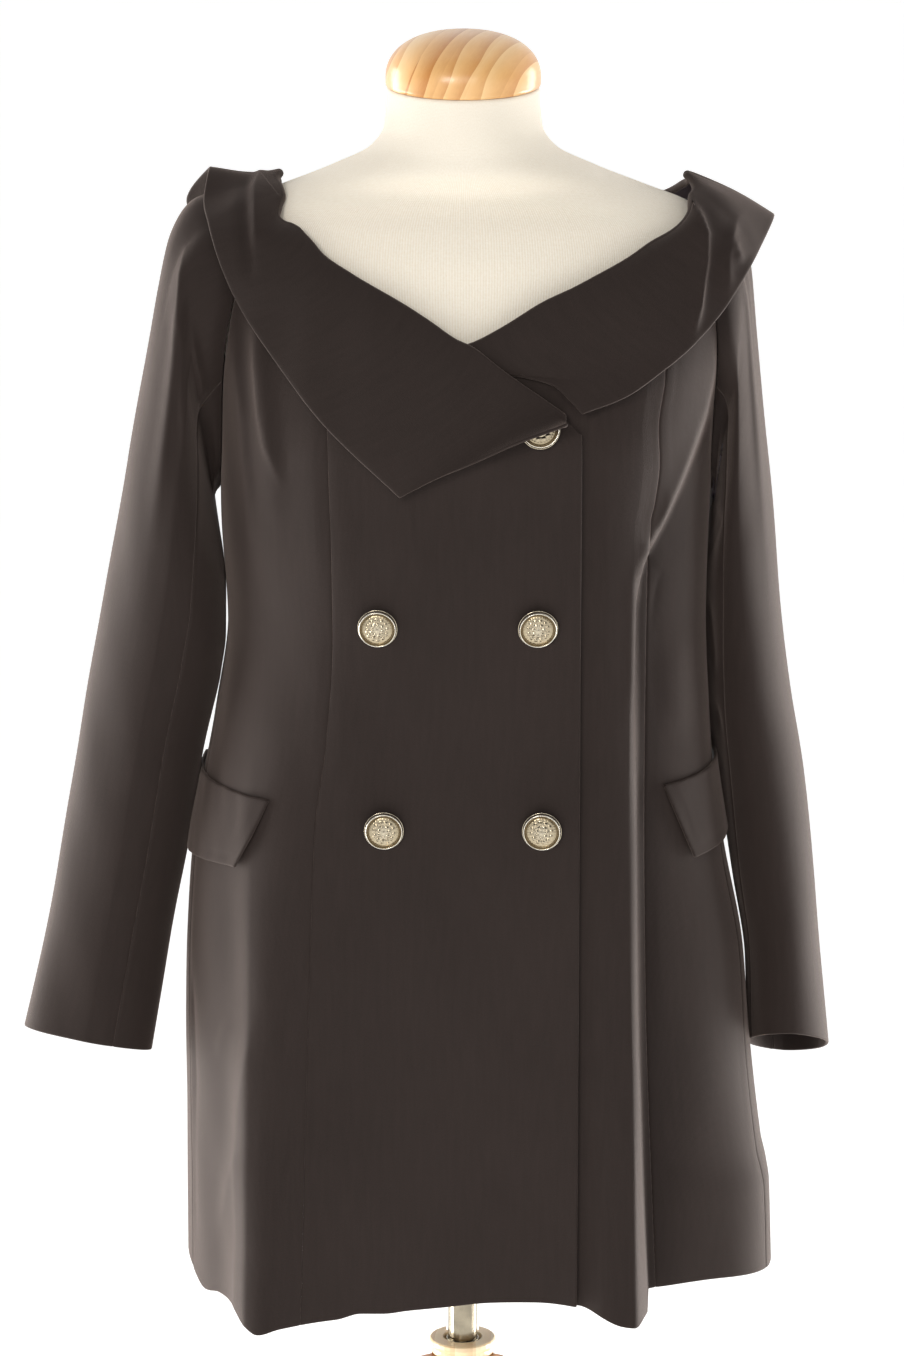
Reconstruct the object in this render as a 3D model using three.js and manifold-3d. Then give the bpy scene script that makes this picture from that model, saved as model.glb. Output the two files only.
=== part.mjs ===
// A long off-the-shoulder double-breasted blazer on a limbless dress form with a tripod stand.
// Millimetres, +Z up. The front faces -Y, so the wearer's right side is at -X and the left at +X.
// The body cloth is one surface, described by its angle round the body and its height. Every panel
// is cut from it along the seams, and the collar, flaps and buttons are laid on it.
import * as THREE from "three";
import Module from "manifold-3d";
import { mergeVertices } from "three/addons/utils/BufferGeometryUtils.js";

// ---- driving dimensions -------------------------------------------------------------------------
const CLOTH = 2; // wall of the body and the sleeves
const COLLAR_CLOTH = 2.2; // wall of the collar and the lapels
const FLAP_CLOTH = 2.4; // wall of a pocket flap
const FLAP_SEAM = 0.5; // space between a flap and the cloth below it
const SEAM = 0.3; // space between two pieces at a seam
const UNDERLAP = 0.8; // clear space between the two overlapped fronts
const FRONT_EDGE = 81; // x of the upper front's edge
const UNDER_EDGE = -70; // x of the lower front's edge
const UNDERARM = 1212; // height of the lowest point of the armholes
const ROLL = 3.2; // outer radius of the collar where it turns over the neckline
const NECK_SEAM = 2.2; // space along the cloth between a panel's top edge and the collar's first edge
const ARMHOLE_SEAM = 0.6; // space along the cloth between an armhole and the sleeve sewn to it
const HEAD_SEAM = 3.4; // the same between the sleeve's head and the collar's first edge
const BUTTON = { radius: 14, height: 6, seat: 0.3 };
const SIDES = { right: -1, left: 1 };

const POST = { radius: 11, bottom: 480, top: 829.7 };
const HUB = { radius: 25, waist: 23.4, bottom: 470, top: 561 };
const FERRULE = { radius: 14.4, seat: 16, height: 15 }; // sits in the hub's bore, round the post
const SLOT = { depth: 12.6, foot: 498, clear: 5 }; // a leg's slot: its floor's radius, its lowest height
const LEG = { width: 24, reach: 290, foot: 14, head: 29, top: 547, angles: [90, 210, 330] };
const CAP = { radius: 55.2, bottom: 1500.3, height: 38.6, lean: 5.5 }; // lean in degrees, forward

// ---- tables -------------------------------------------------------------------------------------
// Outer face of the body cloth at each height: its reach to the wearer's right and left, forward and
// back, and how square the section is (2 is an ellipse).
const BODY = [
  { z: 610, right: 207, left: 230, front: 146, back: 140, square: 2.7 },
  { z: 720, right: 205, left: 221, front: 142, back: 136, square: 2.7 },
  { z: 800, right: 203, left: 211, front: 140, back: 134, square: 2.7 },
  { z: 870, right: 200, left: 205, front: 139, back: 132, square: 2.7 },
  { z: 950, right: 194.5, left: 191, front: 138, back: 128, square: 2.7 },
  { z: 1000, right: 187.5, left: 184.5, front: 136, back: 120, square: 2.7 },
  { z: 1050, right: 181, left: 180, front: 134, back: 110, square: 2.7 },
  { z: 1120, right: 173.5, left: 176.5, front: 133, back: 101, square: 2.6 },
  { z: 1200, right: 174.5, left: 177.5, front: 136, back: 107, square: 2.6 },
  { z: 1250, right: 175, left: 181, front: 136, back: 112, square: 2.6 },
  { z: 1300, right: 177, left: 187, front: 128, back: 112, square: 2.6 },
  { z: 1350, right: 178, left: 193, front: 109, back: 103, square: 2.6 },
  { z: 1400, right: 177, left: 194, front: 77, back: 84, square: 2.6 },
  { z: 1412, right: 172, left: 191, front: 63, back: 72, square: 2.6 },
  { z: 1425, right: 155, left: 180, front: 42, back: 50, square: 2.6 },
  { z: 1434, right: 138, left: 164, front: 24, back: 28, square: 2.6 },
  { z: 1442, right: 118, left: 144, front: 10, back: 14, square: 2.6 },
];

// Height of the hem at each x, along the front.
const HEM = [
  { x: -204, z: 637 },
  { x: -190, z: 631 },
  { x: -155, z: 620 },
  { x: -117, z: 627 },
  { x: -72, z: 635 },
  { x: 0, z: 640.5 },
  { x: 48, z: 642 },
  { x: 82, z: 639 },
  { x: 130, z: 625 },
  { x: 180, z: 627 },
  { x: 230, z: 618 },
];
const BACK_HEM = 632;

// Height of the neckline at each angle from the centre front, on each side. The first two rows are
// where that front crosses the centre and runs on to its own edge.
const NECK = {
  right: [
    { angle: -20, z: 1272 },
    { angle: -17, z: 1284 },
    { angle: 0, z: 1332 },
    { angle: 14, z: 1363 },
    { angle: 27, z: 1388 },
    { angle: 35, z: 1402 },
    { angle: 40, z: 1409 },
    { angle: 46, z: 1415 },
    { angle: 60, z: 1429 },
    { angle: 90, z: 1437 },
    { angle: 120, z: 1429 },
    { angle: 135, z: 1416 },
    { angle: 150, z: 1407 },
    { angle: 180, z: 1398 },
  ],
  left: [
    { angle: -20, z: 1276 },
    { angle: -17, z: 1286 },
    { angle: 0, z: 1332 },
    { angle: 4, z: 1344 },
    { angle: 11.5, z: 1361 },
    { angle: 23, z: 1381 },
    { angle: 37, z: 1397 },
    { angle: 49, z: 1410 },
    { angle: 60, z: 1424 },
    { angle: 90, z: 1436 },
    { angle: 120, z: 1427 },
    { angle: 135, z: 1416 },
    { angle: 150, z: 1407 },
    { angle: 180, z: 1398 },
  ],
};

// x of the seam between a front and its side front.
const PRINCESS = {
  right: [
    { z: 620, x: -117 },
    { z: 860, x: -110 },
    { z: 990, x: -105 },
    { z: 1050, x: -97 },
    { z: 1125, x: -92 },
    { z: 1266, x: -95 },
    { z: 1400, x: -100 },
  ],
  left: [
    { z: 620, x: 142 },
    { z: 866, x: 132 },
    { z: 1009, x: 130 },
    { z: 1150, x: 132 },
    { z: 1214, x: 135 },
    { z: 1280, x: 137.5 },
    { z: 1330, x: 142 },
    { z: 1400, x: 136 },
  ],
};

// Angle of the side seam below the underarm and of the armhole's front edge above it.
const SIDE_EDGE = [
  { z: 610, angle: 75 },
  { z: 900, angle: 77 },
  { z: 1000, angle: 80 },
  { z: 1100, angle: 86 },
  { z: 1180, angle: 90 },
  { z: UNDERARM, angle: 90 },
  { z: 1232, angle: 82 },
  { z: 1262, angle: 77 },
  { z: 1300, angle: 72 },
  { z: 1350, angle: 63 },
  { z: 1395, angle: 54 },
  { z: 1415, angle: 48 },
];

// Upright folds: x and height of the crest at the top and the foot, the largest stand-off at each,
// and how far the fold reaches towards the centre and towards the side.
const FOLDS = [
  { top: 1080, foot: 600, xTop: -148, xFoot: -155, outTop: 0, outFoot: 38, inward: 45, outward: 16 },
  { top: 1190, foot: 600, xTop: 116, xFoot: 124, outTop: 0, outFoot: 20, inward: 42, outward: 12 },
  { top: 1390, foot: 1200, xTop: -150, xFoot: -133, outTop: 5, outFoot: 0, inward: 8, outward: 9 },
  { top: 1370, foot: 1190, xTop: -166, xFoot: -150, outTop: 5, outFoot: 0, inward: 5, outward: 7 },
];

// The side of the left skirt falls in behind a deep fold: x of its crest and the share of the depth lost.
const TUCK_WIDTH = 9;
const TUCK = [
  { z: 620, x: 133, share: 0.4 },
  { z: 866, x: 123.5, share: 0.33 },
  { z: 1009, x: 121.5, share: 0.28 },
  { z: 1172, x: 124, share: 0.22 },
  { z: 1214, x: 139, share: 0.16 },
  { z: 1246, x: 155, share: 0.1 },
  { z: 1275, x: 168, share: 0.05 },
  { z: 1320, x: 178, share: 0 },
];

// Sleeve sections from the armhole to the cuff: the outer (upper) and inner (lower) point, the half
// depth front to back, the centre's y, and how far the section still follows the armhole's own shape.
const SLEEVE = {
  right: [
    { ox: -138, oz: 1436, ix: -176.5, iz: 1212, depth: 50, y: -2, fit: 1 },
    { ox: -164, oz: 1429, ix: -180, iz: 1207, depth: 58, y: -1, fit: 0.75 },
    { ox: -195, oz: 1420, ix: -181, iz: 1200, depth: 62, y: 0, fit: 0.45 },
    { ox: -209, oz: 1398, ix: -180, iz: 1191, depth: 64, y: -4, fit: 0.2 },
    { ox: -216.5, oz: 1360, ix: -179, iz: 1178, depth: 65, y: -9, fit: 0.05 },
    { ox: -227, oz: 1304, ix: -177.5, iz: 1160, depth: 65, y: -14, fit: 0 },
    { ox: -240, oz: 1248, ix: -176, iz: 1138, depth: 64, y: -18, fit: 0 },
    { ox: -252, oz: 1190, ix: -175.8, iz: 1108, depth: 61, y: -20, fit: 0 },
    { ox: -265, oz: 1108, ix: -179, iz: 1078, depth: 56, y: -20, fit: 0 },
    { ox: -276, oz: 1040, ix: -189.5, iz: 1026, depth: 50, y: -20, fit: 0 },
    { ox: -290, oz: 955, ix: -203, iz: 950, depth: 44, y: -20, fit: 0 },
    { ox: -306, oz: 880, ix: -217, iz: 877, depth: 38, y: -22, fit: 0 },
    { ox: -323, oz: 812, ix: -229.5, iz: 793, depth: 34, y: -24, fit: 0 },
  ],
  left: [
    { ox: 164, oz: 1436, ix: 179, iz: 1212, depth: 50, y: -2, fit: 1 },
    { ox: 184, oz: 1425, ix: 182.5, iz: 1207, depth: 55, y: 2, fit: 0.75 },
    { ox: 199, oz: 1406, ix: 183, iz: 1199, depth: 57, y: 6, fit: 0.45 },
    { ox: 207, oz: 1378, ix: 182.5, iz: 1189, depth: 59, y: 10, fit: 0.2 },
    { ox: 213, oz: 1325, ix: 181, iz: 1170, depth: 61, y: 14, fit: 0.05 },
    { ox: 219.5, oz: 1262, ix: 179, iz: 1148, depth: 62, y: 18, fit: 0 },
    { ox: 225.5, oz: 1205, ix: 178, iz: 1120, depth: 62, y: 20, fit: 0 },
    { ox: 232.5, oz: 1130, ix: 179, iz: 1088, depth: 60, y: 20, fit: 0 },
    { ox: 241.5, oz: 1060, ix: 185, iz: 1040, depth: 57, y: 18, fit: 0 },
    { ox: 250.5, oz: 1000, ix: 193, iz: 990, depth: 54, y: 15, fit: 0 },
    { ox: 259, oz: 925, ix: 205, iz: 920, depth: 51, y: 11, fit: 0 },
    { ox: 265, oz: 860, ix: 213, iz: 856, depth: 48, y: 8, fit: 0 },
    { ox: 272, oz: 797, ix: 214.5, iz: 793, depth: 45, y: 5, fit: 0 },
  ],
};
// Creases of the sleeve head: middle and half width in degrees round the sleeve, middle and half length
// in rows along it, and depth. The first is the hollow between the sleeve's front and the armhole.
const SLEEVE_CREASES = {
  right: [
    { turn: 142, width: 26, k: 3.2, length: 1.9, deep: 20 },
    { turn: 62, width: 9, k: 4.2, length: 1.8, deep: -5 },
  ],
  left: [
    { turn: 142, width: 26, k: 3.2, length: 1.9, deep: 20 },
    { turn: 40, width: 9, k: 4.2, length: 1.8, deep: -5 },
  ],
};
const SLEEVE_SQUARE = 2.3; // how square a section is
const SLEEVE_RISE = 6; // the front of each section is this much higher than its centre
const ON_NECKLINE = 36; // degrees of the armhole's loop, each way from the shoulder, on the neckline
const NECK_CORNER = 48; // angle on the body, from the centre front, where the armhole leaves the neckline
const SLEEVE_SEAMS = { front: 122, back: 245 }; // degrees round the sleeve, from its outer line

// Collar and lapels in one run: degrees round the neckline from the centre front by the wearer's left
// and the back, and past a full turn where the right lapel crosses over; then the section's outer edge,
// how far it stands off half way down and how much of its drop hangs straight first.
const COLLAR = [
  { turn: 0.5, x: 82.5, y: -136, z: 1288, lift: 1, hang: -0.12 },
  { turn: 5.5, x: 112, y: -127, z: 1297, lift: 4, hang: 0.3 },
  { turn: 13.5, x: 136.5, y: -114, z: 1310.5, lift: 5, hang: 0.3 },
  { turn: 24.5, x: 158, y: -101, z: 1326, lift: 8, hang: 0.3 },
  { turn: 37, x: 182, y: -78, z: 1349, lift: 10, hang: 0.3 },
  { turn: 49, x: 201, y: -58, z: 1377, lift: 10, hang: 0.3 },
  { turn: 68, x: 212, y: -30, z: 1393, lift: 8, hang: 0.3 },
  { turn: 88, x: 222, y: 8, z: 1408, lift: 3, hang: 0.3 },
  { turn: 112, x: 220, y: 36, z: 1400, lift: 4, hang: 0.3 },
  { turn: 130, x: 206, y: 70, z: 1384, lift: 5, hang: 0.3 },
  { turn: 148, x: 170, y: 102, z: 1362, lift: 5, hang: 0.3 },
  { turn: 165, x: 100, y: 124, z: 1338, lift: 5, hang: 0.3 },
  { turn: 180, x: 4, y: 131, z: 1330, lift: 5, hang: 0.3 },
  { turn: 195, x: -92, y: 124, z: 1338, lift: 5, hang: 0.3 },
  { turn: 212, x: -154, y: 102, z: 1362, lift: 5, hang: 0.3 },
  { turn: 230, x: -197, y: 74, z: 1390, lift: 8, hang: 0.3 },
  { turn: 248, x: -199, y: 38, z: 1415, lift: 4, hang: 0.3 },
  { turn: 272, x: -180, y: 4, z: 1442, lift: 1, hang: 0.3 },
  { turn: 292, x: -183, y: -26, z: 1423, lift: 3, hang: 0.3 },
  { turn: 308, x: -179, y: -48, z: 1409, lift: 5, hang: 0.3 },
  { turn: 317, x: -173, y: -64, z: 1391, lift: 6, hang: 0.3 },
  { turn: 324, x: -165, y: -74, z: 1371, lift: 6, hang: 0.3 },
  { turn: 332.5, x: -156.5, y: -81, z: 1354.5, lift: 6, hang: 0.3 },
  { turn: 341, x: -138, y: -99, z: 1329, lift: 5, hang: 0.3 },
  { turn: 351, x: -96, y: -128, z: 1278, lift: 5, hang: 0.3 },
  { turn: 360, x: -44, y: -147, z: 1231, lift: 4, hang: 0.3 },
  { turn: 366.5, x: -9.5, y: -149, z: 1249, lift: 4, hang: 0.3 },
  { turn: 372, x: 39, y: -152, z: 1271, lift: 3, hang: 0.3 },
  { turn: 376.4, x: 70, y: -149.2, z: 1283.5, lift: 3, hang: 0.3 },
];
const SHOULDER_SEAMS = { left: 88, right: 272 }; // turns at which the lapels meet the back collar

// Pocket flaps: the angle and the height of the front and the side end, along the seam and the free edge.
const FLAPS = {
  right: {
    seam: { front: 41, frontZ: 1009, side: 97, sideZ: 1011 },
    foot: { front: 49.5, frontZ: 961, side: 96, sideZ: 950 },
  },
  left: {
    seam: { front: 46, frontZ: 1010, side: 97, sideZ: 1012 },
    foot: { front: 55, frontZ: 953, side: 96, sideZ: 952 },
  },
};
const FLAP_LIFT = 13; // how far the front corner of the free edge stands off

const BUTTONS = [
  { name: "button_top_left", x: 53, z: 1275.5 },
  { name: "button_waist_right", x: -60, z: 1135 },
  { name: "button_waist_left", x: 52, z: 1135 },
  { name: "button_hip_right", x: -56, z: 990 },
  { name: "button_hip_left", x: 55.5, z: 989.5 },
];

const NECK_ROOT = 1455; // height from which the form's neck begins to lean
// Sections of the dress form: half width, reach forward and back, and squareness.
const FORM = [
  { z: 830, side: 158, front: 96, back: 104, square: 2.3 },
  { z: 842, side: 163, front: 100, back: 109, square: 2.3 },
  { z: 920, side: 167, front: 104, back: 113, square: 2.3 },
  { z: 1000, side: 160, front: 101, back: 103, square: 2.3 },
  { z: 1070, side: 140, front: 94, back: 85, square: 2.2 },
  { z: 1120, side: 132, front: 92, back: 80, square: 2.2 },
  { z: 1180, side: 145, front: 106, back: 90, square: 2.2 },
  { z: 1240, side: 157, front: 121, back: 100, square: 2.2 },
  { z: 1290, side: 167, front: 115, back: 103, square: 2.2 },
  { z: 1340, side: 178, front: 101, back: 96, square: 2.1 },
  { z: 1380, side: 185, front: 86, back: 82, square: 2 },
  { z: 1402, side: 180, front: 71, back: 67, square: 2 },
  { z: 1418, side: 161.5, front: 57, back: 54, square: 2 },
  { z: 1430, side: 131.3, front: 51, back: 49, square: 2 },
  { z: 1444, side: 95, front: 56, back: 51, square: 2 },
  { z: 1458, side: 66, front: 54, back: 51, square: 2 },
  { z: 1472, side: 56.5, front: 54, back: 53, square: 2 },
  { z: 1500, side: 54, front: 53.5, back: 53.5, square: 2 },
];

// ---- small tools --------------------------------------------------------------------------------
const wasm = await Module();
wasm.setup();

const rad = THREE.MathUtils.degToRad;
const lerp = THREE.MathUtils.lerp;
const clamp = THREE.MathUtils.clamp;
const smooth = (t) => THREE.MathUtils.smoothstep(t, 0, 1);

// The named column of a table at a place along its key: a smooth curve that never overshoots a row.
function column(rows, key, name, at) {
  const last = rows.length - 1;
  const rising = rows[last][key] > rows[0][key];
  const past = (i) => (rising ? rows[i][key] <= at : rows[i][key] >= at);
  let i = 0;
  while (i < last - 1 && past(i + 1)) i++;
  const slope = (j) => (rows[j + 1][name] - rows[j][name]) / (rows[j + 1][key] - rows[j][key]);
  const tangent = (j) => {
    if (j === 0) return slope(0);
    if (j === last) return slope(last - 1);
    const [a, b] = [slope(j - 1), slope(j)];
    return a * b <= 0 ? 0 : (2 * a * b) / (a + b);
  };
  const span = rows[i + 1][key] - rows[i][key];
  const t = clamp((at - rows[i][key]) / span, 0, 1);
  const [t2, t3] = [t * t, t * t * t];
  return (
    (2 * t3 - 3 * t2 + 1) * rows[i][name] +
    (t3 - 2 * t2 + t) * span * tangent(i) +
    (3 * t2 - 2 * t3) * rows[i + 1][name] +
    (t3 - t2) * span * tangent(i + 1)
  );
}

// ---- the body surface ---------------------------------------------------------------------------
// Angles are in degrees from the centre front, positive to the wearer's left, 180 at the centre back.
const round = (value, power) => Math.sign(value) * Math.abs(value) ** power;

function bodyPoint(angle, z) {
  const a = rad(angle);
  const square = column(BODY, "z", "square", z);
  const side = column(BODY, "z", Math.sin(a) < 0 ? "right" : "left", z);
  const deep = column(BODY, "z", Math.cos(a) < 0 ? "back" : "front", z);
  const x = side * round(Math.sin(a), 2 / square);
  let y = -deep * round(Math.cos(a), 2 / square);
  if (y < 0) {
    const crest = column(TUCK, "z", "x", z);
    y *= 1 - column(TUCK, "z", "share", z) * smooth((x - crest) / TUCK_WIDTH);
    const facing = smooth(-y / 40);
    for (const f of FOLDS) {
      const t = (f.top - z) / (f.top - f.foot);
      if (t <= 0 || t >= 1) continue;
      const dx = x - lerp(f.xTop, f.xFoot, t);
      const reach = dx * f.xTop > 0 ? f.outward : f.inward;
      const ends = f.outTop > 0 ? Math.sin(Math.PI * t) : 1;
      const out = Math.max(f.outTop, lerp(f.outTop, f.outFoot, t));
      y -= facing * ends * out * Math.exp(-((dx / reach) ** 2));
    }
  }
  return new THREE.Vector3(x, y, z);
}

// The angle at which the front of the section reaches x.
function angleOf(x, z) {
  const side = column(BODY, "z", x < 0 ? "right" : "left", z);
  const share = Math.min(Math.abs(x) / side, 1) ** (column(BODY, "z", "square", z) / 2);
  return (Math.sign(x) * Math.asin(share) * 180) / Math.PI;
}

// Outward normal of any surface that is a function of two parameters.
function normalOf(surface, u, v, du, dv) {
  const alongU = surface(u + du, v).sub(surface(u - du, v));
  const alongV = surface(u, v + dv).sub(surface(u, v - dv));
  return alongU.cross(alongV).normalize();
}

const bodyNormal = (angle, z) => normalOf(bodyPoint, angle, z, 0.6, 2);

function hemHeight(angle, z) {
  const x = bodyPoint(angle, z).x;
  const front = column(HEM, "x", "z", x);
  return lerp(front, BACK_HEM, smooth((Math.abs(angle) - 80) / 40));
}

function neckHeight(side, angle) {
  const rows = NECK[side];
  return column(rows, "angle", "z", angle * SIDES[side]);
}

// ---- walls --------------------------------------------------------------------------------------
// A closed wall: a grid of points on the outer face, each with its outward normal, and a thickness.
// Rows run up and columns run towards +angle seen from outside, so the outer faces turn outward.
function wall(points, normals, thickness) {
  const rows = points.length;
  const cols = points[0].length;
  const vertices = [];
  for (const depth of [0, thickness])
    for (let i = 0; i < rows; i++)
      for (let j = 0; j < cols; j++) {
        const p = points[i][j].clone().addScaledVector(normals[i][j], -depth);
        vertices.push(p.x, p.y, p.z);
      }
  const outer = (i, j) => i * cols + j;
  const inner = (i, j) => rows * cols + i * cols + j;
  const index = [];
  const quad = (a, b, c, d) => index.push(a, b, c, a, c, d);
  for (let i = 0; i < rows - 1; i++)
    for (let j = 0; j < cols - 1; j++) {
      quad(outer(i, j), outer(i, j + 1), outer(i + 1, j + 1), outer(i + 1, j));
      quad(inner(i, j), inner(i + 1, j), inner(i + 1, j + 1), inner(i, j + 1));
    }
  for (let j = 0; j < cols - 1; j++) {
    quad(inner(0, j), inner(0, j + 1), outer(0, j + 1), outer(0, j));
    quad(outer(rows - 1, j), outer(rows - 1, j + 1), inner(rows - 1, j + 1), inner(rows - 1, j));
  }
  for (let i = 0; i < rows - 1; i++) {
    quad(outer(i, 0), outer(i + 1, 0), inner(i + 1, 0), inner(i, 0));
    quad(outer(i, cols - 1), inner(i, cols - 1), inner(i + 1, cols - 1), outer(i + 1, cols - 1));
  }
  return new THREE.BufferGeometry()
    .setAttribute("position", new THREE.Float32BufferAttribute(vertices, 3))
    .setIndex(index);
}

// Draws the named borders of a grid in along the cloth; a list gives the top's distance by column.
function inset(points, borders, by) {
  const rows = points.length - 1;
  const cols = points[0].length - 1;
  const towards = (p, q, distance = by) => p.add(q.clone().sub(p).setLength(distance));
  for (let i = 0; i <= rows; i++) {
    if (borders.includes("first")) towards(points[i][0], points[i][1]);
    if (borders.includes("last")) towards(points[i][cols], points[i][cols - 1]);
  }
  for (let j = 0; j <= cols; j++) {
    const distance = Array.isArray(by) ? by[j] : by;
    if (borders.includes("top")) towards(points[rows][j], points[rows - 1][j], distance);
  }
}

// ---- body panels --------------------------------------------------------------------------------
// Heights of the rows of every panel up to the level where the neckline begins, and the shares of
// what is left above it, so that panels meet row by row at their seams.
const LEVELS = [655, 700, 760, 820, 880, 940, 1000, 1050, 1100, 1150, 1190, UNDERARM, 1236, 1260];
const SHARES = [0.3, 0.6, 0.82, 1];

// A panel whose columns are functions of height that give an angle.
function bodyPanel(columns, neckSide, borders, depthOf = () => 0) {
  const points = [];
  const normals = [];
  const heights = columns.map((angleAt) => {
    const settle = (height, start) => {
      let z = start;
      for (let k = 0; k < 12; k++) z = height(angleAt(z), z);
      return z;
    };
    const foot = settle(hemHeight, BACK_HEM);
    const base = LEVELS[LEVELS.length - 1];
    const top = settle((angle) => neckHeight(neckSide, angle), 1400);
    return [foot, ...LEVELS, ...SHARES.map((s) => lerp(base, top, s))];
  });
  for (let i = 0; i < heights[0].length; i++) {
    points.push(columns.map((angleAt, j) => bodyPoint(angleAt(heights[j][i]), heights[j][i])));
    normals.push(columns.map((angleAt, j) => bodyNormal(angleAt(heights[j][i]), heights[j][i])));
    points[i].forEach((p, j) => p.addScaledVector(normals[i][j], -depthOf(p)));
  }
  inset(points, borders, SEAM / 2);
  inset(points, ["top"], NECK_SEAM);
  return wall(points, normals, CLOTH);
}

const princessAngle = (side) => (z) => angleOf(column(PRINCESS[side], "z", "x", z), z);
const sideAngle = (side) => (z) => SIDES[side] * column(SIDE_EDGE, "z", "angle", z);
const backSideAngle = (side) => (z) => {
  const front = column(SIDE_EDGE, "z", "angle", z);
  return SIDES[side] * (z < UNDERARM ? front : 180 - front);
};
const atX = (x) => (z) => angleOf(x, z);
const leftOfPrincess = (by) => (z) => angleOf(column(PRINCESS.left, "z", "x", z) - by, z);

function between(from, to, shares) {
  return shares.map((s) => (z) => lerp(from(z), to(z), s));
}

// The upper front, on the wearer's right, from its princess seam to its free edge.
function upperFront() {
  const inner = [-68, -40, -8, 24, 56, FRONT_EDGE].map(atX);
  const seam = princessAngle("right");
  return bodyPanel([seam, (z) => lerp(seam(z), angleOf(-68, z), 0.5), ...inner], "right", ["first"]);
}

// The lower front, on the wearer's left: it passes under the other and comes level with the side front.
function lowerFront() {
  const covered = [UNDER_EDGE, -40, -8, 24, 56, 86].map(atX);
  const seam = [28, 15, 9, 6, 3, 0].map(leftOfPrincess);
  const sunk = (p) => (CLOTH + UNDERLAP) * (1 - smooth((p.x - FRONT_EDGE - 3) / 18));
  return bodyPanel([...covered, ...seam], "left", ["last"], sunk);
}

function sideFront(side) {
  const shares = [0, 0.12, 0.26, 0.42, 0.58, 0.72, 0.86, 1];
  const columns = between(princessAngle(side), sideAngle(side), shares);
  return bodyPanel(side === "right" ? columns.reverse() : columns, side, ["first", "last"]);
}

function backPanel(side) {
  const shares = [0, 0.1, 0.22, 0.36, 0.52, 0.68, 0.84, 1];
  const centre = () => SIDES[side] * 180;
  const columns = between(backSideAngle(side), centre, shares);
  return bodyPanel(side === "right" ? columns.reverse() : columns, side, ["first", "last"]);
}

// ---- sleeves ------------------------------------------------------------------------------------
// The armhole's loop on the body surface, from the shoulder (0) by the front to the underarm (180)
// and by the back to the shoulder again (360).
function armholePoint(side, anyTurn) {
  const turn = THREE.MathUtils.euclideanModulo(anyTurn, 360);
  const front = turn <= 180;
  const fromShoulder = front ? turn : 360 - turn;
  const onBody = (angle) => SIDES[side] * (front ? angle : 180 - angle);
  if (fromShoulder < ON_NECKLINE) {
    const angle = onBody(lerp(90, NECK_CORNER, fromShoulder / ON_NECKLINE));
    return bodyPoint(angle, neckHeight(side, angle));
  }
  const cornerHeight = neckHeight(side, onBody(NECK_CORNER));
  const z = lerp(cornerHeight, UNDERARM, (fromShoulder - ON_NECKLINE) / (180 - ON_NECKLINE));
  return bodyPoint(onBody(column(SIDE_EDGE, "z", "angle", z)), z);
}

function sleeveRing(row, turn) {
  const a = rad(turn);
  const power = 2 / SLEEVE_SQUARE;
  const along = round(Math.cos(a), power);
  const forward = round(Math.sin(a), power);
  return new THREE.Vector3(
    (row.ox + row.ix) / 2 + ((row.ox - row.ix) / 2) * along,
    row.y - row.depth * forward,
    (row.oz + row.iz) / 2 + ((row.oz - row.iz) / 2) * along + SLEEVE_RISE * forward * (1 - row.fit),
  );
}

// How far the creases move a point of the sleeve back.
function sleeveRelief(side, k, turn) {
  const bell = (offset, width) => Math.exp(-((offset / width) ** 2));
  const depth = (c) => c.deep * bell(turn - c.turn, c.width) * bell(k - c.k, c.length);
  return SLEEVE_CREASES[side].reduce((sum, c) => sum + depth(c), 0);
}

const SLEEVE_COLUMNS = ["ox", "oz", "ix", "iz", "depth", "y", "fit"];

// A point of the sleeve: degrees round it from its outer line, and place along the table's rows.
function sleevePoint(side, turn, k) {
  const rows = SLEEVE[side];
  const keyed = rows.map((row, i) => ({ ...row, k: i }));
  const row = Object.fromEntries(SLEEVE_COLUMNS.map((name) => [name, column(keyed, "k", name, k)]));
  const p = sleeveRing(row, turn);
  if (row.fit > 0) {
    const off = armholePoint(side, turn).sub(sleeveRing(rows[0], turn));
    p.addScaledVector(off, row.fit);
  }
  p.y += sleeveRelief(side, k, turn);
  return p;
}

// Half a sleeve between two of its seams, from the cuff up to the armhole.
function sleevePiece(side, from, to, steps) {
  const surface = (turn, k) => sleevePoint(side, turn, k);
  const count = SLEEVE[side].length - 1;
  const [start, end] = side === "right" ? [from, to] : [to, from];
  const turns = Array.from({ length: steps + 1 }, (_, j) => lerp(start, end, j / steps));
  const points = [];
  const normals = [];
  for (let k = count; k >= 0; k--) {
    const inside = clamp(k, 0.06, count - 0.06);
    points.push(turns.map((turn) => surface(turn, k)));
    normals.push(turns.map((turn) => normalOf(surface, turn, inside, Math.sign(start - end), 0.05)));
  }
  inset(points, ["first", "last"], SEAM / 2);
  const seams = turns.map((turn) => (Math.abs(turn) > ON_NECKLINE ? ARMHOLE_SEAM : HEAD_SEAM));
  inset(points, ["top"], seams);
  return wall(points, normals, CLOTH);
}

// ---- collar -------------------------------------------------------------------------------------
const COLLAR_SHARES = [0.12, 0.3, 0.5, 0.7, 0.86, 1];
const ROLL_TURNS = [180, 130, 90, 45, 0];

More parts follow.
